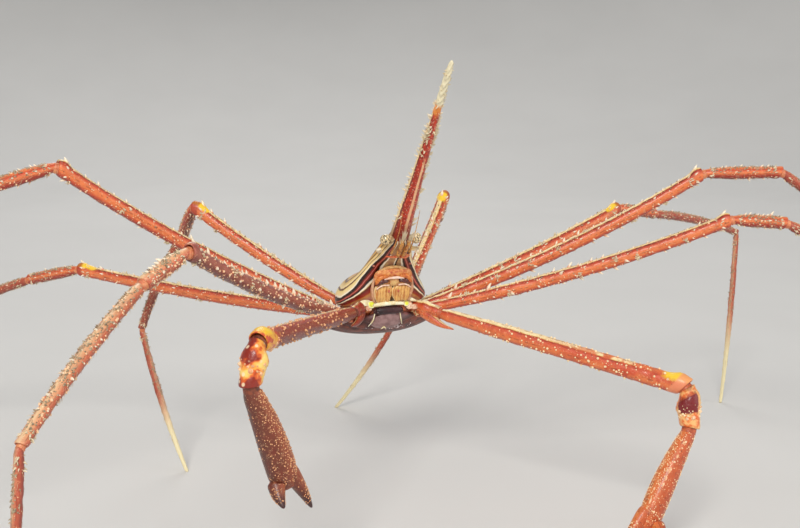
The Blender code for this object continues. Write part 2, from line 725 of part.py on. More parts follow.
def leg_clearance(name, joints, collection):
    """Room in the carapace's edge for the start of a leg."""
    pair = int(name[1])
    along, up = HIPS[pair][1:]
    inner = body_point(side_of(name) * 1.5, along, min(up, 0.9), THORAX_RISE)
    reach = joints[0].lerp(joints[1], 0.2)
    radius = COXA_RADIUS[pair] + 0.3
    return tube("clearance", [inner, joints[0], reach], [radius, radius, radius * 0.95], collection)


def main():
    clear_scene()
    materials = make_materials()
    crab = new_collection("arrow_crab")
    make_rostrum(crab, materials["rostrum_shell"])
    make_thorax(crab, materials["orange_shell"])
    make_abdomen(crab, materials["abdomen_shell"])
    for side in (-1, 1):
        make_maxilliped(side, crab, materials["mouth_shell"])
        make_eye(side, crab, materials["eye_cream"])
        make_feelers(side, crab, materials["tan_feeler"])
    clearances = []
    for name, pose in WALKING_LEGS.items():
        out, along, up = HIPS[int(name[1])]
        hip = body_point(side_of(name) * out, along, up, THORAX_RISE)
        joints = walking_leg(name, hip, pose, crab, materials["orange_shell"])
        clearances.append(leg_clearance(name, joints, crab))
    for mark in CLAW_ARMS:
        shell = materials["maroon_shell"] if mark == "r" else materials["orange_shell"]
        claw_arm(mark, crab, shell)
    make_carapace(crab, materials["carapace_shell"], clearances)


main()
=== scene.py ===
"""Arrow crab: shells, stripes, spines, bristles and joint skins of a still, life-size model.

The frame holds the crab's plain solids. Each is replaced here by a finer piece in the same place, worked
out from the same named sizes. Lengths are millimetres and angles degrees until a mesh is made. The crab
faces -Y, its left side is towards +X, and the floor is Z = 0.
"""
import math
import random

import bpy
import numpy as np
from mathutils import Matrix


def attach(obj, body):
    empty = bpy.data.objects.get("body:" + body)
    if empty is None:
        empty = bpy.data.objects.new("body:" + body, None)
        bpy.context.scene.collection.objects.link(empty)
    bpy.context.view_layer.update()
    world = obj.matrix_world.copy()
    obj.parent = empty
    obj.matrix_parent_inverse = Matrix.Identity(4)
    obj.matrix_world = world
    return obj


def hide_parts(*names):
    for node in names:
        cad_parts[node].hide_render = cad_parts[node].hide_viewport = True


MM = 0.001
GAP = 0.3

# Body frame: the lower edge of the mouth, and how far each part of the body rises above level
MOUTH_AT = np.array((-0.4, -8.7, 33.35))
THORAX_RISE = 25.0
HEAD_RISE = 51.0
ROSTRUM_RISE = 52.5

# Carapace: station along the axis, its rise, lowest and highest line, half width, height of the widest line
CARAPACE_STATIONS = [
    (-11.6, 25, 3.4, 4.4, 1.8, 3.8), (-10.7, 25, 2.9, 5.5, 3.9, 3.5), (-9.0, 25, 2.3, 6.3, 5.5, 2.8),
    (-7.0, 25, 1.8, 6.7, 6.5, 2.2), (-4.8, 27, 1.5, 6.7, 7.1, 1.9), (-2.8, 32, 1.5, 6.6, 6.8, 2.2),
    (-0.9, 38, 1.6, 6.5, 5.9, 3.2), (1.0, 44, 2.0, 6.3, 4.9, 3.6), (3.0, 49, 2.7, 6.1, 4.1, 3.7),
    (5.0, 51, 3.0, 5.9, 3.35, 3.9), (7.0, 51, 2.7, 5.7, 2.75, 3.9), (8.8, 51, 2.4, 5.4, 2.2, 3.9),
    (10.3, 51, 2.3, 5.0, 1.6, 3.8), (11.3, 52, 2.7, 4.8, 1.3, 3.7)]
SKIRT_DROP = 0.9
# Where the broad dark band starts and where the white line under it runs, in degrees from the widest line
DARK_EDGE = [(-11.6, 22), (-6.0, 12), (-4.0, 6), (-2.5, -3), (-0.7, -13), (1.0, -14), (2.7, -17), (4.3, -26),
             (6.2, -38), (8.6, -43), (11.3, -45)]
WHITE_LINE = [(-11.6, -10), (-6.0, -16), (-4.0, -21), (-1.7, -31), (0.0, -42), (1.8, -54), (3.1, -65),
              (4.6, -68), (6.5, -74), (8.9, -71), (11.3, -70)]
BACK_STRIPES = 45.0
# Hooked spine behind each eye and the small tooth on the cheek: points and radii
EYE_HOOK = [(1.9, 7.6, 3.9, 0.405), (2.75, 8.0, 3.3, 0.36), (3.15, 8.6, 2.85, 0.252), (2.95, 9.3, 2.45, 0.09)]
CHEEK_TOOTH = [(2.3, 4.4, 3.7, 0.22), (2.85, 4.62, 3.26, 0.165), (3.07, 4.895, 2.9575, 0.055)]

# Rostrum: share of its length and radius there
ROSTRUM_LENGTH = 31.0
ROSTRUM_START = (11.6, 3.75)
ROSTRUM_TAPER = [(0.0, 1.35), (0.12, 1.18), (0.3, 0.93), (0.5, 0.72), (0.7, 0.53), (0.85, 0.42),
                 (0.96, 0.34), (1.0, 0.2)]
# Crumbly tufts along the edges: side, share, grains
ROSTRUM_TUFTS = [(-1, 0.5, 18), (-1, 0.585, 34), (-1, 0.61, 24), (-1, 0.64, 16), (1, 0.62, 34),
                 (1, 0.64, 24), (1, 0.55, 22), (1, 0.67, 16), (1, 0.43, 18), (1, 0.48, 10), (1, 0.35, 8),
                 (1, 0.27, 8), (1, 0.17, 14), (-1, 0.3, 6), (-1, 0.12, 8), (-1, 0.78, 16), (1, 0.82, 26),
                 (1, 0.77, 14), (-1, 0.86, 8), (1, 0.9, 12), (-1, 0.94, 8), (1, 0.96, 8)]
SPINULES = 44
FRONT_SPINULES = 260

EYE_RADIUS = 0.83
EYE_AT = (2.35, 10.65, 3.0)

# Leg pairs 1 (claw arm) to 5: where the coxa ends, in the thorax frame
HIPS = {1: (3.9, -1.8, -0.2), 2: (6.0, -3.4, -0.9), 3: (6.4, -5.5, -0.2), 4: (6.1, -7.6, 0.3),
        5: (5.0, -9.6, 2.4)}
COXA_RADIUS = {1: 1.1, 2: 1.05, 3: 1.05, 4: 1.0, 5: 0.95}

# Pose of each leg: length, azimuth and rise of merus, carpus and propodus, length and azimuth of the dactyl
WALKING_LEGS = {
    "r2": [(47.0, 48, 21.0), (7.0, 25, -25.5), (28.0, 56, -21.0), (35.5, 30)],
    "r3": [(48.5, 10, 30.5), (11.0, 13, -13.5), (33.5, 11, -44.0), (31.0, 12)],
    "r4": [(46.5, -39, 5.0), (10.5, -41, -13.5), (28.0, -38, -24.0), (33.5, -38)],
    "r5": [(28.0, -33, 31.0), (9.0, -84, -39.5), (19.5, -50, -60.0), (25.5, 122)],
    "l2": [(48.0, 28, 18.0), (8.5, 15, -4.0), (31.0, 29, -30.5), (33.5, 28)],
    "l3": [(48.0, 21, 26.0), (12.0, 20, 1.0), (33.0, 22, -39.5), (31.5, -156)],
    "l4": [(47.0, -16, 15.0), (10.5, -19, -11.0), (28.0, -22, -13.0), (34.5, 147)],
    "l5": [(27.5, -51, 29.5), (10.0, -76, -33.0), (19.0, -99, -57.0), (28.0, -149)],
}
# Pose of each claw arm: ischium, merus, carpus and claw
CLAW_ARMS = {
    "r": [(5.0, 54, 2.0), (35.8, 54, 7.0), (5.4, 46, -68.0), (21.0, -149, -67.5)],
    "l": [(5.0, 48, -12.0), (38.2, 48, -9.5), (5.8, 89, -78.5), (21.0, 162, -55.0)],
}
# Radii at the start, middle and end of each segment
SEGMENT_RADII = {
    "merus": (0.8, 0.98, 0.94), "carpus": (0.74, 0.9, 0.85), "propodus": (0.72, 0.78, 0.6),
    "dactyl": (0.5, 0.55, 0.3), "claw_ischium": (0.9, 1.2, 1.0), "claw_merus": (0.95, 1.2, 1.3),
    "claw_carpus": (1.05, 1.5, 1.4),
}
LEG_KINDS = ("merus", "carpus", "propodus", "dactyl")
MERUS_SAG = {2: 1.1, 3: 1.3, 4: 0.6, 5: 0.5}
PROPODUS_RISE = 0.6
DACTYL_SAG = 0.8
LIMB_SIDES = 32
RING_STEP = 0.3

# Rows of thorns on a segment: angle, count, smallest and largest size, first and last share
THORNS = {
    "merus": [(0, 20, 0.6, 1.7, 0.05, 0.95), (14, 9, 0.4, 1.0, 0.08, 0.92), (60, 12, 0.5, 1.3, 0.08, 0.94),
              (-60, 12, 0.5, 1.3, 0.08, 0.94), (115, 11, 0.5, 1.3, 0.1, 0.94),
              (-115, 11, 0.5, 1.3, 0.1, 0.94), (165, 13, 0.5, 1.4, 0.08, 0.95)],
    "carpus": [(0, 8, 0.6, 1.4, 0.1, 0.95), (70, 5, 0.5, 1.0, 0.15, 0.9), (-70, 5, 0.5, 1.0, 0.15, 0.9),
               (170, 4, 0.4, 1.0, 0.2, 0.9)],
    "propodus": [(0, 12, 0.5, 1.2, 0.05, 0.9), (70, 9, 0.4, 1.0, 0.08, 0.88), (-70, 9, 0.4, 1.0, 0.08, 0.88),
                 (175, 9, 0.4, 1.0, 0.08, 0.9)],
    "dactyl": [],
}
THORN_SCALE = {2: 1.35, 3: 1.1, 4: 1.0, 5: 1.0}
# Angle and size of the thorns round each knee
KNEE_THORNS = ((0, 2.3), (55, 1.3), (-55, 1.3), (125, 1.2), (-125, 1.2), (180, 1.4))
# Tubercles, crust grains and bristles on each segment
TUBERCLES = {"merus": 190, "carpus": 40, "propodus": 90, "dactyl": 0}
CRUST = {"merus": 60, "carpus": 170, "propodus": 330, "dactyl": 90}
BRISTLES = {"merus": 240, "carpus": 220, "propodus": 520, "dactyl": 260}

# Claw: share of the palm's length, half width across the fingers and half thickness
PALM_LENGTH = 14.4
PALM_PROFILE = [(0.0, 0.95, 0.9), (0.05, 1.2, 1.1), (0.2, 1.5, 1.3), (0.45, 1.85, 1.5),
                (0.75, 2.0, 1.5), (0.92, 1.9, 1.3), (1.0, 1.7, 0.95)]
PALM_BREADTH = {"r": 0.95, "l": 0.84}
PALM_OFFSET = 0.25
PALM_SIDES = 48
# Grains on each palm: count, smallest size, spread of sizes
PALM_GRAINS = {"r": (2900, 0.2, 0.65), "l": (3600, 0.2, 0.6)}
# Long cream spots on the left palm: share, angle, half length
PALM_SPOTS = [(0.13, 70, 0.2), (0.2, 66, 0.14), (0.29, 64, 0.32), (0.35, 63, 0.16), (0.44, 62, 0.42),
              (0.53, 60, 0.3), (0.59, 60, 0.3), (0.66, 28, 0.24), (0.78, 34, 0.4), (0.86, 70, 0.25)]
FINGER_TAPER = [(0.0, 0.9), (0.15, 1.1), (0.35, 1.0), (0.6, 0.75), (0.82, 0.45), (0.95, 0.25), (1.0, 0.12)]
FINGER_GRAINS = 90
FINGER_TEETH = 11
FIXED_FINGER = 7.6
FIXED_FINGER_LEAN = 0.17
FREE_FINGER = 3.9
FREE_FINGER_TILT = 60.0
# Knobs at each elbow: segment (1 merus, 2 carpus), share, angle and size
ELBOW_KNOBS = {
    "r": [(1, 0.985, 150, 1.3), (1, 0.96, 110, 0.8), (2, 0.08, 60, 1.0), (2, 0.3, -75, 0.9),
          (2, 0.62, -60, 1.1), (2, 0.95, 20, 1.2), (2, 0.98, 75, 0.9), (2, 0.9, -50, 1.0),
          (2, 0.45, 80, 0.7), (2, 0.75, 5, 0.7)],
    "l": [(1, 0.985, 120, 0.8), (1, 0.98, 60, 0.9), (2, 0.1, -40, 0.8), (2, 0.28, -62, 0.7),
          (2, 0.5, -70, 0.8), (2, 0.72, -62, 0.9), (2, 0.62, 85, 0.8), (2, 0.97, 10, 1.2),
          (2, 0.92, -30, 0.9), (2, 1.0, 45, 0.8), (2, 0.7, 25, 0.3), (2, 0.72, 50, 0.3), (2, 0.35, 75, 0.3)],
}

# Thorax and abdomen: station, half width and two heights, in the thorax frame, from the rear to the mouth
THORAX_OUTLINE = [(-10.8, 2.2, 0.8, 2.6), (-9.5, 3.2, -0.2, 1.9), (-7.5, 3.6, -0.8, 1.3),
                  (-4.0, 3.6, -0.9, 1.0), (-1.6, 3.0, -0.8, 0.9), (-0.9, 2.2, -0.4, 0.7)]
ABDOMEN_OUTLINE = [(-11.5, 2.8, -0.1, -1.1), (-10.6, 5.0, -0.8, -2.1), (-9.0, 7.0, -1.5, -2.9),
                   (-7.0, 7.8, -1.7, -3.35), (-5.0, 7.2, -1.7, -3.35), (-3.2, 5.3, -1.6, -3.0),
                   (-1.8, 3.0, -1.5, -2.5), (-0.9, 1.5, -1.5, -1.9)]
ABDOMEN_SEGMENTS = 6
ABDOMEN_DROOP = -0.15
# One segment of the abdomen: share of its length, and its breadth there
SEGMENT_SWELL = ((0.03, 0.95), (0.1, 0.955), (0.25, 0.98), (0.45, 1.0), (0.65, 1.005), (0.82, 1.01),
                 (0.92, 1.005), (0.97, 0.98))

# Spines by kind: finish, height, radius at the foot, hook, fullness, sides, steps, and whether it is a coat
SPINES = {
    "thorns": ("thorn_cream", 0.5, 0.22, 0.25, 0.8, 6, 5, False),
    "tubercles": ("tubercle_peach", 0.15, 0.11, 0.1, 2.2, 6, 4, False),
    "crust": ("crust_grey", 0.24, 0.1, 0.5, 1.6, 5, 3, False),
    "tufts": ("tuft_pale", 0.42, 0.11, 0.5, 1.8, 5, 4, True),
    "bristles": ("bristle_pale", 0.65, 0.028, 0.45, 1.0, 3, 4, True),
    "knobs": ("knob_cream", 0.34, 0.3, 0.15, 2.2, 14, 9, False),
    "granules_r": ("granule_tan", 0.2, 0.13, 0.1, 2.6, 6, 4, False),
    "granules_l": ("granule_cream", 0.2, 0.13, 0.1, 2.6, 6, 4, False),
    "spinules": ("spinule_cream", 0.78, 0.2, 0.35, 0.9, 6, 5, False),
    "rostrum_tufts": ("tuft_pale", 0.5, 0.13, 0.5, 1.8, 5, 4, True),
    "fan": ("fan_cream", 2.0, 0.06, 0.2, 1.0, 3, 4, True),
    "beads": ("bead_pale_glint", 0.2, 0.14, 0.0, 2.6, 8, 6, False),
    "fringe": ("bristle_pale", 0.5, 0.02, 0.3, 1.0, 3, 4, True),
}
TUFT_PATCH = 0.003

CAMERA_AT = np.array((-59.3, -174.5, 71.8))
CAMERA_TURN = 20.0
CAMERA_DIP = 10.55
LENS = 54.0
SENSOR = 36.0
# Lamps: place in metres, size, power and colour
LAMPS = {
    "key": ((-0.25, -0.45, 0.42), 0.2, 2.7, (1, 0.98, 0.94)),
    "fill": ((0.45, -0.35, 0.2), 0.35, 0.8, (1, 1, 1)),
    "back": ((0.1, 0.45, 0.4), 0.3, 0.8, (1, 1, 1)),
}
FLOOR_SIDES = 96
FLOOR_CURVE = 420

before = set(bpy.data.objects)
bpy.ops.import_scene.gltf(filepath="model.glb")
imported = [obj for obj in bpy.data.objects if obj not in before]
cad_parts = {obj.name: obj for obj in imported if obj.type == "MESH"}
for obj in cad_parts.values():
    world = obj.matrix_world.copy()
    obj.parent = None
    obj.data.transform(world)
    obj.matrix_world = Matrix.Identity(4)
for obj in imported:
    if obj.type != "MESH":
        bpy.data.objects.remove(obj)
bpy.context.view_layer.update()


# Numbers and directions

def unit(vectors):
    vectors = np.asarray(vectors, float)
    return vectors / np.linalg.norm(vectors, axis=-1, keepdims=True)


def ease(low, high, values):
    """0 below low, 1 above high, and a smooth step between them."""
    share = np.clip((np.asarray(values, float) - low) / (high - low), 0, 1)
    return share * share * (3 - 2 * share)


def bump(centre, width, values):
    """1 at the centre, falling smoothly to 0 a few widths away."""
    return np.exp(-((np.asarray(values, float) - centre) / width) ** 2)


def read_curve(table, places):
    """Values at the given places of a smooth curve through a table's rows."""
    rows = np.array(table, float)
    at, values = rows[:, 0], rows[:, 1:]
    slopes = np.gradient(values, at, axis=0)
    places = np.clip(np.asarray(places, float), at[0], at[-1])
    i = np.clip(np.searchsorted(at, places, "right") - 1, 0, len(at) - 2)
    width = (at[i + 1] - at[i])[..., None]
    t = (places - at[i])[..., None] / width
    return (values[i] * (1 + 2 * t) * (1 - t) ** 2 + slopes[i] * width * t * (1 - t) ** 2
            + values[i + 1] * t * t * (3 - 2 * t) + slopes[i + 1] * width * t * t * (t - 1))


def circle(sides):
    return np.linspace(0, 2 * np.pi, sides, endpoint=False)


def turn_marks(sides):
    """0 at a ring's first point, 1 opposite to it."""
    return np.arccos(np.clip(np.cos(circle(sides)), -1, 1)) / np.pi


def heading(side, azimuth, rise):
    """Unit vector on the given side (+1 left, -1 right) of the animal."""
    swing, lift = math.radians(azimuth), math.radians(rise)
    level = math.cos(lift)
    return np.array((side * level * math.cos(swing), -level * math.sin(swing), math.sin(lift)))


def side_of(name):
    return 1 if name.startswith("l") else -1


def upright(axis):
    """The direction across an axis that points most nearly up."""
    return unit(np.array((0, 0, 1.0)) - axis * axis[2])


def facing_front(direction):
    return -direction if direction[1] > 0 else direction


def forwards(axis):
    """The direction level across an axis, on the side where the animal's front is."""
    return facing_front(np.cross(axis, upright(axis)))


def body_point(sideways, along, up, rise=THORAX_RISE):
    """Places given by the body's own directions. Any of the values may be an array."""
    lift = np.radians(rise)
    sideways, along, up, lift = np.broadcast_arrays(sideways, along, up, lift)
    y = -np.cos(lift) * along + np.sin(lift) * up
    z = np.sin(lift) * along + np.cos(lift) * up
    return np.stack([sideways, y, z], -1) + MOUTH_AT


def body_points(rows, rise=THORAX_RISE, side=1):
    """Places of several rows of sideways, along and up."""
    sideways, along, up = np.array(rows, float).T
    return body_point(side * sideways, along, up, rise)


def bend_between(before, after):
    return math.acos(max(-1.0, min(1.0, float(before @ after))))


def setback(radius, before, after):
    """How far a knuckle's centre stays behind a joint that bends."""
    return (radius + GAP / 2) / math.cos(bend_between(before, after) / 2)


def follow(start, side, pose):
    """Joints and headings of a chain of segments."""
    joints, headings = [start], []
    for length, azimuth, rise in pose:
        headings.append(heading(side, azimuth, rise))
        joints.append(joints[-1] + headings[-1] * length)
    return joints, headings


# Paints

def rgb(red, green, blue):
    """A colour as a screen shows it, 0 to 255, turned into linear light."""
    def linear(value):
        value /= 255
        return value / 12.92 if value <= 0.04045 else ((value + 0.055) / 1.055) ** 2.4
    return (linear(red), linear(green), linear(blue), 1.0)


CREAM = rgb(250, 226, 172)
WHITE = rgb(250, 240, 216)
GOLD = rgb(222, 178, 92)
ORANGE = rgb(208, 80, 42)
LIGHT_ORANGE = rgb(230, 122, 66)
RED = rgb(168, 46, 24)
DARK_RED = rgb(112, 26, 14)
BROWN = rgb(96, 44, 26)
NEAR_BLACK = rgb(40, 16, 12)
PINK = rgb(214, 148, 136)
TAN = rgb(212, 148, 78)
YELLOW = rgb(252, 206, 44)
YELLOW_CREAM = rgb(238, 212, 140)
GREY_BROWN = rgb(112, 84, 68)
ORANGE_BROWN = rgb(200, 104, 52)
PURPLE_BROWN = rgb(70, 38, 40)
LAVENDER = rgb(164, 132, 134)


def add_node(tree, kind, values=(), **settings):
    """A new node. A value that is another node's socket is linked, and any other is set."""
    node = tree.nodes.new(kind)
    for name, setting in settings.items():
        setattr(node, name, setting)
    for key, value in dict(values).items():
        if isinstance(value, bpy.types.NodeSocket):
            tree.links.new(value, node.inputs[key])
        else:
            node.inputs[key].default_value = value
    return node


class Paint:
    """A procedural material. Each layer lies over the colour so far."""

    def __init__(self, name, roughness=0.4, coat=0.25, coat_roughness=0.2, subsurface=0.0):
        self.material = bpy.data.materials.new(name)
        self.material.use_nodes = True
        self.tree = self.material.node_tree
        self.shader = self.tree.nodes["Principled BSDF"].inputs
        self.colour = None
        values = {"Roughness": roughness, "Coat Weight": coat, "Coat Roughness": coat_roughness}
        if subsurface:
            values.update({"Subsurface Weight": subsurface, "Subsurface Radius": (1.0, 0.4, 0.2),
                           "Subsurface Scale": 0.6 * MM})
        for socket, value in values.items():
            self.shader[socket].default_value = value
        where = self.add("ShaderNodeTexCoord", "Object")
        self.here = self.add("ShaderNodeVectorMath", "Vector", {0: where, "Scale": 1 / MM}, operation="SCALE")

    def add(self, kind, output, values=(), **settings):
        return add_node(self.tree, kind, values, **settings).outputs[output]

    def math(self, operation, *values):
        return self.add("ShaderNodeMath", 0, enumerate(values), operation=operation)

    def times(self, first, second):
        return self.math("MULTIPLY", first, second)

    def mark(self, name):
        """A number that the piece carries on each of its points."""
        return self.add("ShaderNodeAttribute", "Fac", attribute_name=name)

    def noise(self, scale, detail=3.0, roughness=0.55):
        """Cloudy variation from 0 to 1, its scale in features to the millimetre."""
        return self.add("ShaderNodeTexNoise", "Fac", {"Vector": self.here, "Scale": scale, "Detail": detail,
                                                      "Roughness": roughness})

    def cells(self, scale, feature="F1", randomness=1.0):
        return self.add("ShaderNodeTexVoronoi", "Distance",
                        {"Vector": self.here, "Scale": scale, "Randomness": randomness}, feature=feature)

    def step(self, value, low, high, start=0.0, end=1.0):
        """A smooth step from start at low to end at high."""
        return self.add("ShaderNodeMapRange", 0, enumerate((value, low, high, start, end)),
                        interpolation_type="SMOOTHSTEP")

    def cloud(self, low, high, *noise):
        """0 where the noise is below low, 1 above high."""
        return self.step(self.noise(*noise), low, high)

    def sway(self, value, reach, *noise):
        """A value that wanders by up to reach either way."""
        return self.math("ADD", value, self.math("MULTIPLY_ADD", self.noise(*noise), 2 * reach, -reach))

    def band(self, value, centre, half, soft):
        """1 where a value lies within half of the centre, fading over soft."""
        away = self.math("ABSOLUTE", self.math("SUBTRACT", value, centre))
        return self.step(away, half, half + soft, 1.0, 0.0)

    def ramp(self, value, stops, smooth=True):
        node = add_node(self.tree, "ShaderNodeValToRGB", {0: value})
        node.color_ramp.interpolation = "EASE" if smooth else "LINEAR"
        elements = node.color_ramp.elements
        elements.remove(elements[-1])
        elements[0].position, elements[0].color = stops[0]
        for position, colour in stops[1:]:
            elements.new(position).color = colour
        return node.outputs["Color"]

    def mix(self, share, under, over):
        return self.add("ShaderNodeMix", "Result", {"Factor": share, "A": under, "B": over}, data_type="RGBA")

    def lay(self, share, over, strength=None):
        """Covers a share of the colour so far."""
        self.colour = self.mix(share if strength is None else self.times(share, strength), self.colour, over)

    def finish(self, height=None, depth=0.05):
        """Sets the colour, and a fine relief whose depth is in millimetres."""
        self.tree.links.new(self.colour, self.shader["Base Color"])
        if height is not None:
            relief = self.add("ShaderNodeBump", 0,
                              {"Strength": 1.0, "Distance": depth * MM, "Height": height})
            self.tree.links.new(relief, self.shader["Normal"])
        return self.material

    def shell_relief(self, depth, pits=9.0, grain=22.0):
        """Finishes with the pores and grain of a lime shell."""
        fine = self.times(self.noise(grain, 2.0), 0.5)
        return self.finish(self.math("ADD", self.noise(pits, 2.0), fine), depth)


def shell_paint(name, stops, tip=None, knee=None, mottle=0.3, dashes=None, patchy=None, gold_end=None,
                rim=RED):
    """Stripes along a limb: the stops run from its top line (0) to its underside (1)."""
    paint = Paint(name, 0.36)
    share, turn = paint.mark("share"), paint.sway(paint.mark("turn"), 0.035, 0.9, 4.0, 0.6)
    paint.colour = paint.ramp(turn, stops)
    if patchy:
        gaps = paint.times(paint.cloud(0.55, 0.45, 0.5, 2.0), paint.step(share, *patchy[:2]))
        paint.lay(gaps, paint.ramp(turn, patchy[2]))
    if dashes:
        row = paint.band(turn, dashes, 0.02, 0.02)
        paint.lay(paint.times(row, paint.cloud(0.48, 0.56, 1.5, 2.0, 0.5)), DARK_RED)
    paint.lay(paint.cloud(0.42, 0.68, 0.8, 5.0, 0.7), rgb(140, 40, 24), mottle)
    paint.lay(paint.cloud(0.56, 0.68, 2.4, 4.0, 0.7), rgb(246, 180, 128), 0.36)
    around = paint.math("MULTIPLY_ADD", turn, 26.0, paint.noise(0.7))
    streak = paint.step(paint.math("SINE", around), 0.5, 1.0)
    paint.lay(paint.times(streak, paint.cloud(0.48, 0.6, 1.2, 2.0)), DARK_RED, 0.45)
    paint.lay(paint.step(paint.cells(2.6), 0.16, 0.09), CREAM, 0.75)
    paint.lay(paint.step(paint.cells(1.1, randomness=0.9), 0.13, 0.07), rgb(74, 24, 16), 0.7)
    if tip:
        paint.lay(paint.step(share, *tip[1:]), tip[0])
    cloudy = paint.math("MULTIPLY_ADD", paint.noise(0.9, 4.0, 0.6), 0.06, -0.03)
    ragged = paint.math("ADD", share, cloudy)
    if gold_end:
        patches = paint.ramp(paint.noise(0.6), [(0.0, RED), (0.42, ORANGE), (0.5, rgb(246, 176, 62)),
                                                (0.62, YELLOW), (1.0, CREAM)])
        paint.lay(paint.step(ragged, *gold_end), patches)
    if knee:
        over = paint.step(paint.math("ADD", turn, paint.times(cloudy, 3.0)), 0.36, 0.2)
        paint.lay(paint.times(paint.step(ragged, 0.94, 0.958), over), knee)
        paint.lay(paint.step(share, 0.992, 1.0, 0.0, 0.8), rim)
    return paint.shell_relief(0.045)


def thorn_paint(name, foot, tip):
    paint = Paint(name, 0.45, 0.1)
    paint.colour = paint.mix(paint.step(paint.sway(paint.mark("rise"), 0.2, 2.5), 0.15, 0.6), foot, tip)
    return paint.finish(paint.noise(12.0), 0.02)


def plain_paint(name, first, second, scale=1.2, roughness=0.4, depth=0.03, coat=0.25, subsurface=0.0):
    """Two colours that drift into each other."""
    paint = Paint(name, roughness, coat, subsurface=subsurface)
    paint.colour = paint.mix(paint.cloud(0.35, 0.65, scale, 4.0, 0.6), first, second)
    return paint.shell_relief(depth)


# Meshes

def show(name, data):
    item = bpy.data.objects.new(name, data)
    bpy.context.scene.collection.objects.link(item)
    return item


def add_mark(mesh, name, values, kind="FLOAT", field="value"):
    attribute = mesh.attributes.new(name, kind, "POINT")
    attribute.data.foreach_set(field, np.ascontiguousarray(values, np.float32).ravel())


def settle(piece, slot, *nodes):
    """The piece rides on the crab and stands for the named solids. The slot is not used."""
    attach(piece, "root")
    if nodes:
        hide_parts(*nodes)


def skin_parts(rows, marks):
    """Points, faces and marks of a closed skin over rings, each end drawn in to one point."""
    rings, sides = rows.shape[:2]
    points = np.concatenate([rows.reshape(-1, 3), rows[:1].mean(1), rows[-1:].mean(1)])
    first, end = rings * sides, (rings - 1) * sides
    low = np.arange(rings - 1)[:, None] * sides
    i = np.arange(sides)
    k = (i + 1) % sides
    quads = np.stack([low + i, low + k, low + k + sides, low + i + sides], -1).reshape(-1, 4)
    edges = list(zip(i.tolist(), k.tolist()))
    faces = quads.tolist() + [(b, a, first) for a, b in edges]
    faces += [(end + a, end + b, first + 1) for a, b in edges]
    corners = points[quads]
    away = np.einsum("ij,ij->i", corners.mean(1) - points.mean(0),
                     np.cross(corners[:, 2] - corners[:, 0], corners[:, 3] - corners[:, 1]))
    if away.sum() < 0:
        faces = [face[::-1] for face in faces]
    spread = {}
    for mark, values in marks.items():
        values = np.broadcast_to(values, (rings, sides))
        spread[mark] = np.concatenate([values.ravel(), [values[0].mean(), values[-1].mean()]])
    return points, faces, spread


def sweep(path, radii, sides, hint, squash=1.0):
    """Rings round a path. The hint is the direction where each ring starts; squash flattens across it."""
    tangent = unit(np.gradient(path, axis=0))
    start = unit(hint - tangent * (tangent @ hint)[:, None])
    across = np.cross(tangent, start)
    angle = circle(sides)[:, None]
    return path[:, None] + radii[:, None, None] * (start[:, None] * np.cos(angle)
                                                   + across[:, None] * np.sin(angle) * squash)


def bar_parts(points, radii, hint, sides=20, count=24, squash=1.0):
    """A smooth round-ended bar through a few points, with the marks share and turn."""
    at = np.concatenate([[0], np.cumsum(np.linalg.norm(np.diff(points, axis=0), axis=1))])
    first, last = radii[0], radii[-1]
    nose = 1 - np.cos(np.linspace(0, np.pi / 2, 7))
    middle = np.linspace(first, at[-1] - last, count)
    places = np.concatenate([nose * first, middle, at[-1] - nose[::-1] * last])
    read = read_curve(np.column_stack([at, points, radii]), places)
    size = read[:, 3]
    for depth in (places / first, (at[-1] - places) / last):
        size = size * np.sqrt(np.clip(1 - np.clip(1 - depth, 0, 1) ** 2, 0.0009, 1))
    rows = sweep(read[:, :3], size, sides, np.array(hint, float), squash)
    return skin_parts(rows, {"share": (places / at[-1])[:, None], "turn": turn_marks(sides)})


# Size and height of a pad's rings, from its foot to the top of its dome
PAD_RINGS = np.array([(0.3, -0.6), (0.8, -0.6), (0.95, -0.45), (1.0, -0.1), (1.0, 0.1), (0.985, 0.28),
                      (0.95, 0.45), (0.88, 0.6), (0.78, 0.73), (0.65, 0.84), (0.5, 0.92), (0.32, 0.98),
                      (0.12, 1.0)])
PAD_SIDES = 56


def pad_parts(centre, ways, half_width, half_length, thick, square=2.4, taper=0.0):
    """A domed plate with a rounded rim. Its marks are the places across and along it, -1 to 1, and rim."""
    right, ahead, out = ways
    cos, sin = np.cos(circle(PAD_SIDES)), np.sin(circle(PAD_SIDES))
    reach = (np.abs(cos) ** square + np.abs(sin) ** square) ** (-1 / square)
    size, height = PAD_RINGS[:, :1], PAD_RINGS[:, 1:]
    u, v = reach * cos * size, reach * sin * size
    wide = u * half_width * (1 + taper * v)
    rows = (centre + wide[..., None] * right + (v * half_length)[..., None] * ahead
            + (height * thick)[..., None] * out)
    return skin_parts(rows, {"u": u, "v": v, "rim": size})


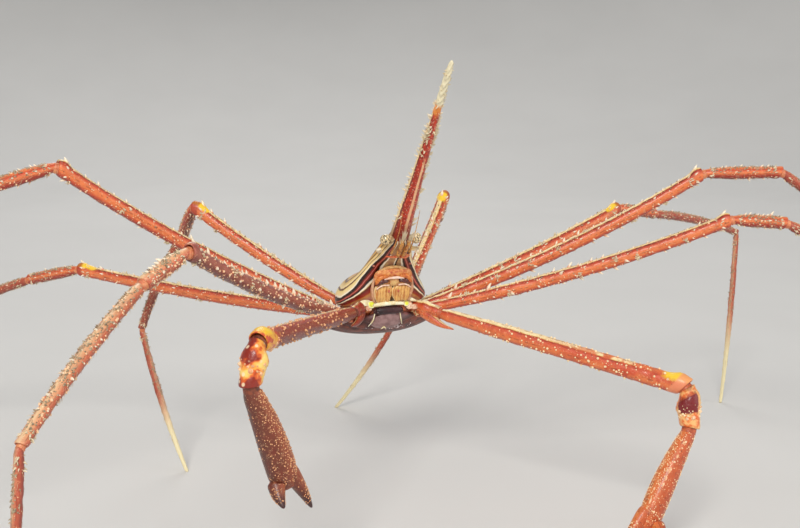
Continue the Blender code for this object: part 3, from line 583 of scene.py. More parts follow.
class Assembly:
    """One piece of several skins. Each skin's number says which of the piece's finishes it has."""

    def __init__(self, name, slot, *finishes):
        self.name, self.slot, self.finishes = name, slot, finishes
        self.parts = []

    def add(self, parts, number=0):
        self.parts.append((*parts, number))

    def bar(self, number, *shape):
        self.add(bar_parts(*shape), number)

    def pad(self, number, *shape):
        self.add(pad_parts(*shape), number)

    def settle(self, *nodes):
        """Makes the piece, in the place of the named solids."""
        faces, numbers, count = [], [], 0
        for points, corners, marks, number in self.parts:
            faces += [tuple(i + count for i in face) for face in corners]
            numbers += [number] * len(corners)
            count += len(points)
        mesh = bpy.data.meshes.new(self.name)
        mesh.from_pydata((np.concatenate([part[0] for part in self.parts]) * MM).tolist(), [], faces)
        for mark in {mark: None for part in self.parts for mark in part[2]}:
            values = [part[2].get(mark, np.zeros(len(part[0]))) for part in self.parts]
            add_mark(mesh, mark, np.concatenate(values))
        for finish in self.finishes:
            mesh.materials.append(bpy.data.materials[finish])
        mesh.polygons.foreach_set("material_index", numbers)
        mesh.shade_smooth()
        settle(show(self.name, mesh), self.slot, *nodes)


# Spines and bristles by Geometry Nodes

SPINE_INPUTS = {"Points": "Geometry", "Height": "Float", "Base": "Float", "Hook": "Float",
                "Fullness": "Float", "Sides": "Int", "Steps": "Int", "Material": "Material"}


def spine_planter():
    """A tree that sets a tapered, bent spine on each point, as the point's own marks say."""
    tree = bpy.data.node_groups.new("spine_planter", "GeometryNodeTree")
    for label, kind in SPINE_INPUTS.items():
        tree.interface.new_socket(label, in_out="INPUT", socket_type="NodeSocket" + kind)
    tree.interface.new_socket("Geometry", in_out="OUTPUT", socket_type="NodeSocketGeometry")

    def add(kind, output, values=(), **settings):
        return add_node(tree, kind, values, **settings).outputs[output]

    def math_node(operation, *values):
        return add("ShaderNodeMath", 0, enumerate(values), operation=operation)

    def place(x, z):
        return add("ShaderNodeCombineXYZ", 0, {"X": x, "Z": z})

    def point_mark(name, kind):
        return add("GeometryNodeInputNamedAttribute", "Attribute", {"Name": name}, data_type=kind)

    given = add_node(tree, "NodeGroupInput").outputs
    height = given["Height"]
    line = add("GeometryNodeCurveQuadraticBezier", "Curve", {
        "Resolution": given["Steps"], "Start": place(0.0, math_node("MULTIPLY", height, -0.3)),
        "Middle": place(0.0, math_node("MULTIPLY", height, 0.6)),
        "End": place(math_node("MULTIPLY", given["Hook"], height), height)})
    along = add("GeometryNodeSplineParameter", "Factor")
    left = math_node("SUBTRACT", 1.0, math_node("POWER", along, given["Fullness"]))
    radius = math_node("MULTIPLY", given["Base"], math_node("ADD", math_node("POWER", left, 0.75), 0.04))
    marked = add("GeometryNodeStoreNamedAttribute", "Geometry",
                 {"Geometry": line, "Name": "rise", "Value": along}, data_type="FLOAT", domain="POINT")
    ring = add("GeometryNodeCurvePrimitiveCircle", "Curve", {"Resolution": given["Sides"], "Radius": 1.0})
    solid = add("GeometryNodeCurveToMesh", "Mesh", {"Curve": marked, "Scale": radius, "Profile Curve": ring,
                                                    "Fill Caps": True})
    turned = add("FunctionNodeAxesToRotation", "Rotation", {
        "Primary Axis": point_mark("lean", "FLOAT_VECTOR"),
        "Secondary Axis": point_mark("towards", "FLOAT_VECTOR")}, primary_axis="Z", secondary_axis="X")
    planted = add("GeometryNodeInstanceOnPoints", "Instances", {
        "Points": given["Points"], "Instance": solid, "Rotation": turned,
        "Scale": point_mark("size", "FLOAT")})
    real = add("GeometryNodeRealizeInstances", "Geometry", {"Geometry": planted})
    painted = add("GeometryNodeSetMaterial", "Geometry", {"Geometry": real, "Material": given["Material"]})
    add_node(tree, "NodeGroupOutput", {"Geometry": painted})
    return tree


PLANTER = spine_planter()


class Spots(list):
    """Where spines stand: root, lean, the way they bend, size, and the root's place on the unwrapped skin."""

    def add(self, root, lean, towards, size, unwrap=(0.5, 0.5)):
        self.append((*root, *unit(lean), *towards, size, *unwrap))


def plant(name, spots, kind, slot):
    """Spines, granules or bristles as one piece, each grown on its own spot."""
    finish, height, base, hook, fullness, sides, steps, is_coat = SPINES[kind]
    rows = np.array(spots)
    mesh = bpy.data.meshes.new(name)
    mesh.from_pydata((rows[:, :3] * MM).tolist(), [], [])
    add_mark(mesh, "lean", rows[:, 3:6], "FLOAT_VECTOR", "vector")
    add_mark(mesh, "towards", rows[:, 6:9], "FLOAT_VECTOR", "vector")
    add_mark(mesh, "size", rows[:, 9])
    piece = show(name, mesh)
    modifier = piece.modifiers.new("spines", "NODES")
    modifier.node_group = PLANTER
    sizes = {"Height": height * MM, "Base": base * MM, "Hook": hook, "Fullness": fullness, "Sides": sides,
             "Steps": steps, "Material": bpy.data.materials[finish]}
    for item in PLANTER.interface.items_tree:
        if item.in_out == "INPUT" and item.name in sizes:
            modifier[item.identifier] = sizes[item.name]
    depsgraph = bpy.context.evaluated_depsgraph_get()
    grown = bpy.data.meshes.new_from_object(piece.evaluated_get(depsgraph))
    piece.modifiers.remove(modifier)
    piece.data = grown
    grown.name = name
    for mark in ("lean", "towards", "size"):
        if mark in grown.attributes:
            grown.attributes.remove(grown.attributes[mark])
    grown.shade_smooth()
    if is_coat:
        unwrap_tufts(grown, rows[:, 10:12], sides, steps)
    settle(piece, slot)


def unwrap_tufts(mesh, places, sides, steps):
    """Each bristle is a small patch at its root's place on the skin's own unwrap."""
    corners = np.zeros(len(mesh.loops), np.int64)
    mesh.loops.foreach_get("vertex_index", corners)
    each = len(mesh.vertices) // len(places)
    tuft, point = corners // each, corners % each
    across, rise = (point % sides) / sides, (point // sides) / steps
    spread = places[np.minimum(tuft, len(places) - 1)] + np.stack([across, rise], -1) * TUFT_PATCH
    layer = mesh.uv_layers.new(name="OFBake")
    layer.data.foreach_set("uv", spread.astype(np.float32).ravel())


# Limbs

class Limb:
    """One segment of a leg or arm, read by its share and by the angle from its top towards the front."""

    def __init__(self, kind, joints, headings, i, before, sag=0.0, radii=None):
        self.kind = kind
        self.radii = radii or SEGMENT_RADII[kind]
        self.axis = headings[i]
        self.up, self.front = upright(self.axis), forwards(self.axis)
        self.start, self.end = joints[i], joints[i + 1]
        self.before, self.after = before, headings[i + 1] if i + 1 < len(headings) else self.axis
        self.sag = self.up * sag
        self.reach(self.start + self.axis * setback(self.radii[0], before, self.axis),
                   self.end - self.axis * setback(self.radii[2], self.axis, self.after))

    def reach(self, first, last):
        self.first, self.last = first, last
        self.length = float(np.linalg.norm(last - first))

    def radius(self, share):
        low, middle, high = self.radii
        return np.interp(share, [0, 0.3, 0.5, 1], [low, middle, middle, high])

    def centre(self, share):
        share = np.asarray(share, float)[..., None]
        bow = np.sin(np.pi * np.clip(share, 0, 1)) ** 0.8
        return self.first + (self.last - self.first) * share + self.sag * bow

    def outward(self, angle):
        turn = np.radians(angle)[..., None]
        return self.up * np.cos(turn) + self.front * np.sin(turn)

    def surface(self, share, angle):
        return self.centre(share) + self.outward(angle) * self.radius(share)


def mitre(axis, before, after):
    """How a ring leans so that two segments meet in one plane: its vector for each unit of radius."""
    bend = bend_between(before, after)
    if bend < 0.02:
        return np.zeros(3)
    outer = unit(before - after)
    return unit(outer - axis * (outer @ axis)) * min(0.6, math.tan(bend / 2))


def limb_relief(limb, places, turn):
    """Low swellings, a ridge along the top, a groove under it, and a knee that rises at the top."""
    rng = random.Random("relief " + limb.kind + str(round(limb.length, 2)))
    relief = 0
    for i in range(9):
        pitch = rng.uniform(0.8, 4.5)
        sides = rng.randint(0, 3)
        wave = np.sin(places * pitch + turn * sides + rng.uniform(0, 6.3))
        relief = relief + wave * rng.uniform(0.005, 0.014)
    inner = ease(0.5, 2.0, places) * (1 - ease(limb.length - 1.5, limb.length, places))
    from_top = turn - np.pi * 2 * (turn > np.pi)
    ridge = 0.07 * bump(0, 0.22, from_top) - 0.05 * bump(0.55, 0.16, np.abs(from_top))
    knee = 0.0
    if "merus" in limb.kind:
        knee = 0.34 * limb.radii[2] * bump(limb.length - 0.1, 0.8, places) * np.clip(np.cos(turn), 0, 1) ** 2
    if limb.kind == "claw_carpus":
        knee = 0.22 * bump(limb.length * 0.35, limb.length * 0.6, places)
    return relief * inner + ridge * inner * (limb.kind != "dactyl") + knee


def limb_skin(limb, *marks, foot=False):
    """Rings of a segment: a narrow neck, the bowed bar, and a raised rim round the next joint."""
    low, middle, high = limb.radii
    length = limb.length
    back = 0.12 - float(np.linalg.norm(limb.first - limb.start))
    rim = length + float(np.linalg.norm(limb.end - limb.last)) - 0.2
    elbow = limb.kind == "claw_carpus"
    swell = 0.36 * elbow
    flare = 0.0 if elbow else 0.04 if "claw" in limb.kind else 0.12
    neck = [(back, 0.3), (back + 0.03, 0.6 + swell / 2), (back + 0.13, 0.78 + swell / 2),
            (-0.6 * low, 0.86 + swell * 0.6), (-0.3 * low, 0.9 + swell * 0.8), (0.0, 0.95 + swell),
            (0.25 * low, 1.02 + swell), (0.5 * low, 1.03 + swell * 1.1)]
    body = np.linspace(min(0.9 * low, 0.3 * length), max(length - 1.1 * high, 0.5 * length),
                       max(6, int(length / RING_STEP)))
    tail = [(length - 0.7 * high, 1.0), (length - 0.25 * high, 1 + flare / 2),
            (length + 0.2 * high, 1 + flare), (rim - 0.3, 0.99 + flare), (rim - 0.12, 0.95 + flare),
            (rim, 0.87 + flare), (rim - 0.02, 0.84), (rim - 0.3, 0.8), (rim - 0.8, 0.7), (rim - 1.0, 0.3)]
    if foot:
        tail = [(length - 0.7 * high, 0.95), (length, 0.62), (length + 0.12, 0.3), (length, 0.2)]
    table = np.array([(place, size * low) for place, size in neck]
                     + [(place, limb.radius(place / length)) for place in body]
                     + [(place, size * high) for place, size in tail])
    places, sizes = table[:, :1], table[:, 1:]
    share = places / length
    angle = np.linspace(0, 360, LIMB_SIDES, endpoint=False)
    turn = np.radians(angle)
    outward = limb.outward(angle)
    rows = limb.centre(share) + outward * (sizes + limb_relief(limb, places, turn))[..., None]
    near_start = 1 - ease(0.0, 2.4 * middle, places)
    near_end = ease(length - 2.4 * middle, length, places) * (not foot)
    for lean, near in ((mitre(limb.axis, limb.before, limb.axis), -near_start),
                       (mitre(limb.axis, limb.axis, limb.after), near_end)):
        rows += limb.axis * (near * sizes * (outward @ lean))[..., None]
    if foot:
        rows[..., 2] = np.maximum(rows[..., 2], 0.0)
    values = {"share": np.clip(share, 0, 1), "turn": turn_marks(LIMB_SIDES), "front": np.sin(turn),
              "top": np.cos(turn)}
    return skin_parts(rows, {mark: values[mark] for mark in marks})


def joint_skin(joint, before, after, sizes, hint):
    """The soft skin of a joint, from a place before it to a place after it."""
    share = np.linspace(0, 1, len(sizes))[:, None]
    path = joint + before * (1 - share) ** 2 + after * share ** 2
    return skin_parts(sweep(path, sizes, 20, hint), {"share": share})


def folded_skins(piece, limbs):
    """The folded skins between the segments of a limb."""
    share = np.linspace(0, 1, 22)
    folds = (1 + 0.05 * np.cos(share * 5 * 2 * np.pi)) * np.sin(np.pi * np.clip(share, 0.04, 0.96)) ** 0.15
    for before, after in zip(limbs, limbs[1:]):
        low, high = before.radii[2] * 0.9, after.radii[0] * 0.84
        sizes = (low + (high - low) * share) * folds
        hint = before.up + after.up + np.array((0.01, 0.02, 0.0))
        piece.add(joint_skin(before.end, -before.axis, after.axis * 0.9, sizes, hint))


def grow(spots, limb, share, turn, size, lean, aside=0.0, depth=0.03, cell=0):
    """One spine on a limb's skin, leaning towards its far end."""
    outward = limb.outward(turn)
    direction = outward + limb.axis * lean + np.cross(limb.axis, outward) * aside
    spots.add(limb.surface(share, turn) - outward * depth, direction, limb.axis, size,
              ((cell + (turn % 360) / 360) / len(LEG_KINDS), share))


def scatter(spots, limb, count, rng, sizes, lean=(0.6, 1.6), shares=(0.0, 1.0), side=None, cell=0):
    """Spines spread over a segment, or about one side of it."""
    for i in range(count):
        share = rng.uniform(*shares)
        turn = rng.uniform(0, 360) if side is None else rng.gauss(*side)
        aside = rng.uniform(-0.5, 0.5)
        slant = rng.uniform(*lean)
        grow(spots, limb, share, turn, rng.uniform(*sizes), slant, aside, cell=cell)


def leg_limbs(name):
    side, pair = side_of(name), int(name[1])
    out, along, up = HIPS[pair]
    hip = body_point(side * out, along, up)
    *upper, (length, azimuth) = WALKING_LEGS[name]
    joints, headings = follow(hip, side, upper)
    headings.append(heading(side, azimuth, -math.degrees(math.asin(joints[-1][2] / length))))
    joints.append(joints[-1] + headings[-1] * length)
    sags = (-MERUS_SAG[pair], 0.0, PROPODUS_RISE, -DACTYL_SAG)
    before = [unit(hip - body_point(side * 2.0, along, up)), *headings]
    limbs = [Limb(kind, joints, headings, i, before[i], sags[i]) for i, kind in enumerate(LEG_KINDS)]
    limbs[-1].reach(limbs[-1].first, joints[-1])
    return limbs


def make_leg(name):
    pair = int(name[1])
    limbs = leg_limbs(name)
    rng = random.Random("leg " + name)
    spots = {kind: Spots() for kind in ("thorns", "tubercles", "crust", "tufts", "bristles")}
    scale = THORN_SCALE[pair]
    front = name == "r2"
    for cell, limb in enumerate(limbs):
        kind = limb.kind
        foot = kind == "dactyl"
        paint = ("front_" if front else "back_" if kind == "merus" and pair > 3 else "") + kind + "_stripes"
        shell = Assembly("leg_" + name + "_" + kind + "_shell", "orange_shell", paint)
        shell.add(limb_skin(limb, "share", "turn", "front", foot=foot))
        shell.settle("leg_" + name + "_" + kind)
        for angle, count, small, large, first, last in THORNS[kind]:
            for i in range(count):
                share = first + (last - first) * (i + rng.uniform(0.2, 0.8)) / count
                turn = angle + rng.uniform(-10, 10)
                size = (small + (large - small) * rng.random() ** 2) * scale
                grow(spots["thorns"], limb, share, turn, size, rng.uniform(0.3, 0.7), depth=0.05)
        if kind == "merus":
            for turn, size in KNEE_THORNS:
                grow(spots["thorns"], limb, 1.0 - 0.004 * abs(turn) / 55, turn, size, 0.6, depth=0.1)
            for k in range(7):
                share = 0.12 + 0.12 * k + rng.uniform(-0.04, 0.04)
                turn = rng.choice((0, 0, 12, 70, 110, 175))
                scatter(spots["tufts"], limb, 14, rng, (0.4, 1.3), (-0.5, 0.8),
                        (share - 0.008, share + 0.008), (turn, 16), cell)
        if not foot:
            scatter(spots["tufts"], limb, 34, rng, (0.35, 1.1), (-0.3, 1.2), (0.965, 0.995), cell=cell)
        if kind != "merus":
            scatter(spots["tufts"], limb, 26, rng, (0.35, 1.1), (-0.3, 1.2), (0.0, 0.05), cell=cell)
        scatter(spots["tubercles"], limb, TUBERCLES[kind] * (2 if front else 1), rng, (0.5, 1.3 * scale),
                (0.0, 0.5), (0.02, 0.98))
        scatter(spots["crust"], limb, CRUST[kind], rng, (0.4, 1.4), (-0.8, 1.2),
                (0.02, 0.45 if foot else 0.97), (0, 45))
        scatter(spots["bristles"], limb, BRISTLES[kind], rng, (0.4, 1.15),
                shares=(0.02, 0.8 if foot else 0.98), cell=cell)
    for kind, places in spots.items():
        plant("leg_" + name + "_" + kind, places, kind, "orange_shell")
    skins = Assembly("leg_" + name + "_joint_skins", "orange_shell", "joint_skin_peach")
    folded_skins(skins, limbs)
    skins.settle()


# Claw arms

# Finishes of ischium, merus, carpus and joint skins
ARM_FINISHES = {
    "r": ("claw_ischium_r", "right_arm_merus", "right_elbow_patches", "right_joint_skin_brown"),
    "l": ("claw_ischium_l", "left_arm_merus", "left_elbow_patch", "left_joint_skin_rust"),
}
ARM_GRANULES = {"merus": 260, "carpus": 70}


class Claw:
    """The palm of one claw, read by share and angle."""

    def __init__(self, mark, wrist, before, axis):
        self.breadth = PALM_BREADTH[mark]
        self.axis = axis
        inward = np.array((-side_of(mark), 0.0, 0.0))
        self.inward = unit(inward - axis * (inward @ axis))
        self.front = facing_front(np.cross(axis, self.inward))
        self.start = wrist + axis * (setback(1.0, before, axis) - 1.0)
        self.knuckle = self.start + axis * PALM_LENGTH

    def surface(self, share, angle):
        share, turn = np.broadcast_arrays(share, np.radians(angle))
        wide, thick = np.moveaxis(read_curve(PALM_PROFILE, share), -1, 0)
        wide = wide * self.breadth
        middle = self.start + self.axis * (PALM_LENGTH * share)[..., None]
        middle = middle + self.inward * (PALM_OFFSET * np.sin(np.pi * share))[..., None]
        point = (middle + self.inward * (wide * np.cos(turn))[..., None]
                 + self.front * (thick * np.sin(turn))[..., None])
        return point, unit(self.inward * (np.cos(turn) / wide)[..., None]
                           + self.front * (np.sin(turn) / thick)[..., None])


def palm_parts(claw):
    share = [0.0, 0.004, 0.012, 0.03, *np.linspace(0.05, 0.93, 60), 0.955, 0.98, 0.995, 1.0]
    share = np.array(share)[:, None]
    angle = np.linspace(0, 360, PALM_SIDES, endpoint=False)
    rows, outward = claw.surface(share, angle)
    rows = rows - outward * (0.08 * bump(0.93, 0.02, share))[..., None]
    middle = rows[-1].mean(0)
    cap = [middle + (rows[-1] - middle) * size + claw.axis * reach
           for size, reach in ((0.97, 0.15), (0.88, 0.32), (0.7, 0.48), (0.4, 0.58), (0.15, 0.6))]
    marks = {"share": np.concatenate([share, np.ones((len(cap), 1))]), "turn": turn_marks(PALM_SIDES),
             "front": np.sin(np.radians(angle))}
    return skin_parts(np.concatenate([rows, cap]), marks)


def finger_table(start, axis, bend, length):
    """Share, place and radius along a finger."""
    share, radii = np.array(FINGER_TAPER).T
    points = start + axis * (length * share)[:, None] + bend * np.sin(np.pi * share)[:, None]
    return np.column_stack([share, points, radii])


def finger_grains(granules, claw, axis, table, inner, rng):
    """Grains along a finger, and teeth on the edge that faces the other finger."""
    aside = unit(claw.inward - axis * (claw.inward @ axis)) * inner
    ahead = unit(claw.front - axis * (claw.front @ axis))
    for i in range(FINGER_GRAINS):
        *point, radius = read_curve(table, rng.uniform(0.35, 0.85))
        turn = math.radians(rng.gauss(0, 50))
        outward = aside * math.cos(turn) + ahead * math.sin(turn)
        granules.add(point + outward * radius * 0.92, outward, axis, rng.uniform(0.3, 0.8))
    for i in range(FINGER_TEETH):
        *point, radius = read_curve(table, 0.42 + 0.5 * i / FINGER_TEETH)
        granules.add(point - aside * radius * 0.85, -aside, axis, rng.uniform(0.5, 0.9))


def lobe_parts(hip, knee, axis):
    """The pointed lobe that runs under and before the start of the merus."""
    aside = unit(forwards(axis) * 0.5 - upright(axis))
    points = [hip + (knee - hip) * 0.3 + aside * 0.4, knee - axis * 0.8 + aside * 1.15,
              knee + axis * 0.7 + aside * 1.6, knee + axis * 2.9 + aside * 1.75]
    return bar_parts(points, [0.85, 0.74, 0.45, 0.1], upright(axis), 24, 30)


def palm_grains(granules, mark, claw, rng):
    """Grains over the palm, most of them where its edges are."""
    count, smallest, spread = PALM_GRAINS[mark]
    for i in range(count):
        share = rng.uniform(0.03, 0.98)
        turn = rng.uniform(0, 360)
        edge = math.cos(math.radians(turn))
        if rng.random() > 0.5 + 0.45 * (edge if mark == "r" else abs(edge) * 1.6 - 0.8):
            continue
        point, outward = claw.surface(share, turn)
        granules.add(point - outward * 0.04, outward, claw.axis, smallest + spread * rng.random() ** 2)


def make_claw_arm(mark):
    side = side_of(mark)
    out, along, up = HIPS[1]
    joints, headings = follow(body_point(side * out, along, up), side, CLAW_ARMS[mark])
    before = [unit(joints[0] - body_point(side * 1.8, along, up)), *headings]
    slot = "maroon_shell" if mark == "r" else "orange_shell"
    *finishes, skin_finish = ARM_FINISHES[mark]
    rng = random.Random("claw arm " + mark)
    granules, limbs = Spots(), []
    for i, part in enumerate(("ischium", "merus", "carpus")):
        limb = Limb("claw_" + part, joints, headings, i, before[i])
        limbs.append(limb)
        piece = Assembly("claw_arm_" + mark + "_" + part + "_shell", slot, finishes[i])
        piece.add(limb_skin(limb, "share", "turn", "front", "top"))
        if part == "ischium":
            piece.add(lobe_parts(joints[0], joints[1], headings[1]))
        else:
            scatter(granules, limb, ARM_GRANULES[part], rng, (0.5, 1.6), (0.0, 0.3), (0.15, 0.97))
        piece.settle("claw_arm_" + mark + "_" + part)
    claw = Claw(mark, joints[3], headings[2], headings[3])
    tilt = math.radians(FREE_FINGER_TILT)
    fixed_axis = unit(claw.axis + claw.inward * FIXED_FINGER_LEAN)
    free_axis = unit(claw.axis * math.cos(tilt) + claw.front * math.sin(tilt) - claw.inward * 0.1)
    fixed = finger_table(claw.knuckle - claw.axis * 2.6 + claw.inward * 0.75, fixed_axis, claw.inward * 0.1,
                         FIXED_FINGER)
    free = finger_table(claw.knuckle - claw.axis * 1.1 - claw.inward * 0.95, free_axis, claw.inward * -0.2,
                        FREE_FINGER)
    palm = Assembly("claw_" + mark + "_palm_shell", slot, "palm_" + mark, "finger_" + mark, "knob_cream")
    palm.add(palm_parts(claw))
    palm.bar(1, fixed[:, 1:4], fixed[:, 4], claw.inward, 24, 40, 0.85)
    for share, turn, half in PALM_SPOTS if mark == "l" else ():
        root, outward = claw.surface(share, turn)
        middle = root - outward * 0.05
        palm.bar(2, [middle - claw.axis * half, middle, middle + claw.axis * half], [0.1, 0.15, 0.1],
                 outward, 14, 12)
    palm.settle("claw_" + mark + "_palm")
    finger = Assembly("claw_" + mark + "_finger_shell", slot, "finger_" + mark)
    finger.bar(0, free[:, 1:4], free[:, 4], claw.inward, 24, 40, 0.85)
    finger.settle("claw_" + mark + "_finger")
    palm_grains(granules, mark, claw, rng)
    finger_grains(granules, claw, fixed_axis, fixed, 1, rng)
    finger_grains(granules, claw, free_axis, free, -1, rng)
    knobs = Spots()
    for part, share, turn, size in ELBOW_KNOBS[mark]:
        relief = 0.22 * bump(0.35, 0.6, share) if part == 2 else 0.0
        grow(knobs, limbs[part], share, turn, size, 0.0, depth=0.12 - relief)
    plant("claw_arm_" + mark + "_knobs", knobs, "knobs", slot)
    plant("claw_arm_" + mark + "_granules", granules, "granules_" + mark, slot)
    skins = Assembly("claw_arm_" + mark + "_joint_skins", slot, skin_finish)
    folded_skins(skins, limbs)
    skins.add(joint_skin(joints[3], -headings[2], headings[3], np.ones(16),
                         claw.front + np.array((0.01, 0.02, 0.03))))
    skins.settle()


# Body

RIGHT = np.array((1.0, 0, 0))


def body_way(along, up, rise=THORAX_RISE):
    """A direction given by the body's own ones."""
    return unit(body_point(0, along, up, rise) - MOUTH_AT)


def carapace_point(along, angle):
    """A point of the carapace: place along the body, and the angle from the widest line up over the back."""
    along, angle = np.broadcast_arrays(along, angle)
    rise, low, high, half, widest = np.moveaxis(read_curve(CARAPACE_STATIONS, along), -1, 0)
    skirt = 1 - ease(-1.5, 2.0, along)
    across, lift = np.cos(angle), np.sin(angle)
    power = np.where(lift >= 0, 1.15, 0.9 - 0.35 * skirt)
    x = half * np.sign(across) * np.abs(across) ** power
    depth = widest - low + SKIRT_DROP * skirt
    up = np.where(lift >= 0, widest + (high - widest) * lift, widest - depth * np.abs(lift) ** 0.8)
    return body_point(x, along, up, rise)


def stripe_place(along, flank):
    """0 at the dark band's upper edge, 1 on the white line, and negative over the back."""
    edge = read_curve(DARK_EDGE, along)[..., 0]
    white = read_curve(WHITE_LINE, along)[..., 0]
    return np.where(flank < edge, (edge - flank) / (edge - white), (edge - flank) / BACK_STRIPES)


def make_carapace():
    first, last = CARAPACE_STATIONS[0][0], CARAPACE_STATIONS[-1][0]
    along = np.linspace(first, last, 170)[:, None]
    angle = circle(160) + 0.001
    rows = carapace_point(along, angle)
    shrink = np.array((0.25, 0.55, 0.8, 0.93))[:, None, None]
    rear, front = body_point(0, first - 0.8, 3.9), rows[-1].mean(0)
    rows = np.concatenate([rear + (rows[0] - rear) * shrink, rows, front + (rows[-1] - front) * shrink[::-1]])
    along = np.concatenate([np.full((4, 1), first), along, np.full((4, 1), last)])
    flank = np.degrees(np.arcsin(np.sin(angle)))
    piece = Assembly("carapace_shell", "carapace_shell", "carapace_stripes", "hook_cream", "tooth_pink")
    piece.add(skin_parts(rows, {"along": along, "stripe": stripe_place(along, flank),
                                "across": rows[..., 0] - MOUTH_AT[0]}))
    for side in (-1, 1):
        for number, spike in ((1, EYE_HOOK), (2, CHEEK_TOOTH)):
            spike = np.array(spike)
            piece.bar(number, body_points(spike[:, :3], HEAD_RISE, side), spike[:, 3], (0, -1, 0.2))
    piece.settle("carapace")


def make_rostrum():
    forward, backside = body_way(1, 0, ROSTRUM_RISE), body_way(0, 1, ROSTRUM_RISE)
    base = body_point(0, *ROSTRUM_START, HEAD_RISE)
    share = np.concatenate([[-0.05, -0.04], np.linspace(-0.03, 0.985, 150), [0.992, 0.997, 1.0]])[:, None]
    radius = read_curve(ROSTRUM_TAPER, share[:, 0])
    radius[:2, 0] = (0.7, 1.2)
    radius[-3:, 0] = (0.2, 0.14, 0.05)
    angle = circle(40)
    knobs = ease(0.74, 0.8, share) * 0.2 * np.sin(share * 150 + 3 * np.sin(angle * 2))
    size = radius * (1 + 0.1 * bump(0, 0.25, np.cos(angle))) * (1 + knobs)
    ring = backside * np.cos(angle)[:, None] + RIGHT * np.sin(angle)[:, None]
    shell = Assembly("rostrum_shell", "rostrum_shell", "rostrum_stripes")
    shell.add(skin_parts((base + forward * ROSTRUM_LENGTH * share)[:, None] + size[..., None] * ring,
                         {"share": share, "turn": turn_marks(40)}))
    shell.settle("rostrum")

    def place_on(share, turn, depth):
        """A root on the rostrum and the way out from it."""
        turn = math.radians(turn)
        outward = backside * math.cos(turn) + RIGHT * math.sin(turn)
        radius = float(read_curve(ROSTRUM_TAPER, share)[0])
        return base + forward * ROSTRUM_LENGTH * share + outward * (radius - depth), outward

    spines = Spots()
    rng = random.Random("rostrum spinules")
    for side in (-1, 1):
        for i in range(SPINULES):
            place = 0.03 + 0.94 * (i + rng.uniform(0.1, 0.9)) / SPINULES
            root, outward = place_on(place, side * (92 + rng.uniform(-12, 12)), 0.08)
            size = rng.uniform(0.6, 1.4) * (1 - 0.6 * float(ease(0.72, 0.8, place)))
            spines.add(root, outward + forward * rng.uniform(0.1, 0.7), forward, size)
    for i in range(FRONT_SPINULES):
        root, outward = place_on(rng.uniform(0.02, 0.74), 180 + rng.gauss(0, 45), 0.04)
        spines.add(root, outward, forward, rng.uniform(0.12, 0.3))
    plant("rostrum_spinules", spines, "spinules", "rostrum_shell")
    tufts = Spots()
    for side, middle, count in ROSTRUM_TUFTS:
        for i in range(count):
            place = middle + rng.gauss(0, 0.012)
            root, outward = place_on(place, side * (105 + rng.gauss(0, 28)), 0.06)
            lean = outward + forward * rng.uniform(-0.9, 0.9)
            size = rng.uniform(0.4, 1.2) * (1 - 0.3 * float(ease(0.72, 0.8, place)))
            tufts.add(root, lean, forward, size, (rng.random(), place))
    plant("rostrum_tufts", tufts, "rostrum_tufts", "rostrum_shell")


def make_eye(mark):
    side = side_of(mark)
    out, along, up = EYE_AT
    centre = body_point(side * out, along, up, HEAD_RISE)
    root = body_point(side * 0.9, along - 0.4, up + 0.4, HEAD_RISE)
    axis = unit(centre - root)
    start = unit(np.cross(axis, (0.3, 0.9, 0.1)))
    angle = circle(40)[:, None]
    lift = np.linspace(0.06, np.pi - 0.06, 24)[:, None, None]
    ring = start * np.cos(angle) + np.cross(axis, start) * np.sin(angle)
    globe = Assembly("eye_" + mark + "_globe", "eye_cream", "eye_net")
    globe.add(skin_parts(centre + EYE_RADIUS * (ring * np.sin(lift) + axis * np.cos(lift)),
                         {"share": np.linspace(0, 1, 24)[:, None]}))
    globe.settle("eye_" + mark)
    stalk = Assembly("eye_" + mark + "_stalk", "eye_cream", "stalk_cream")
    stalk.bar(0, [root, root + (centre - root) * 0.5, centre - axis * 0.3], [0.75, 0.62, 0.7],
              (0, -1, 0.3), 24, 16)
    stalk.settle()


# Short and long feelers, and the small bar under them
SHORT_FEELER = [(0.42, 8.4, 1.6), (0.45, 10.0, 1.45), (0.5, 11.4, 1.2), (0.55, 12.4, 1.35)]
LONG_FEELER = [(1.4, 8.6, 1.9), (1.3, 11.0, 1.7), (1.25, 14.0, 1.9), (1.3, 17.0, 2.6)]
UNDER_FEELERS = [(0.0, 8.0, 1.9), (0.9, 8.0, 1.9), (1.9, 7.6, 2.4)]


def make_feelers(mark):
    side = side_of(mark)
    short, long, under = (body_points(line, HEAD_RISE, side)
                          for line in (SHORT_FEELER, LONG_FEELER, UNDER_FEELERS))
    for name, points, radii in (("antennule_", short, [0.3, 0.33, 0.27, 0.2]),
                                ("antenna_", long, [0.2, 0.1, 0.06, 0.03])):
        piece = Assembly(name + mark + "_stem", "tan_feeler", "feeler_tan", "under_feelers_red")
        piece.bar(0, points, radii, (0, -1, 0.3), 20, 30)
        if name == "antennule_":
            piece.bar(1, under, [0.24, 0.32, 0.14] if side > 0 else [0.2, 0.16, 0.1], (0, -1, 0.3))
        piece.settle(name + mark)
    fan = Spots()
    rng = random.Random("feeler fan " + mark)
    axis = unit(short[3] - short[1])
    for i in range(110):
        root = short[1] + (short[3] - short[1]) * rng.uniform(0.3, 1.0)
        lean = axis + np.array((rng.uniform(-0.5, 0.5), rng.uniform(-0.9, 0.2), rng.uniform(-0.2, 0.4)))
        fan.add(root, lean, axis, rng.uniform(0.5, 1.2), (rng.random(), rng.random()))
    plant("antennule_fan_" + mark, fan, "fan", "tan_feeler")


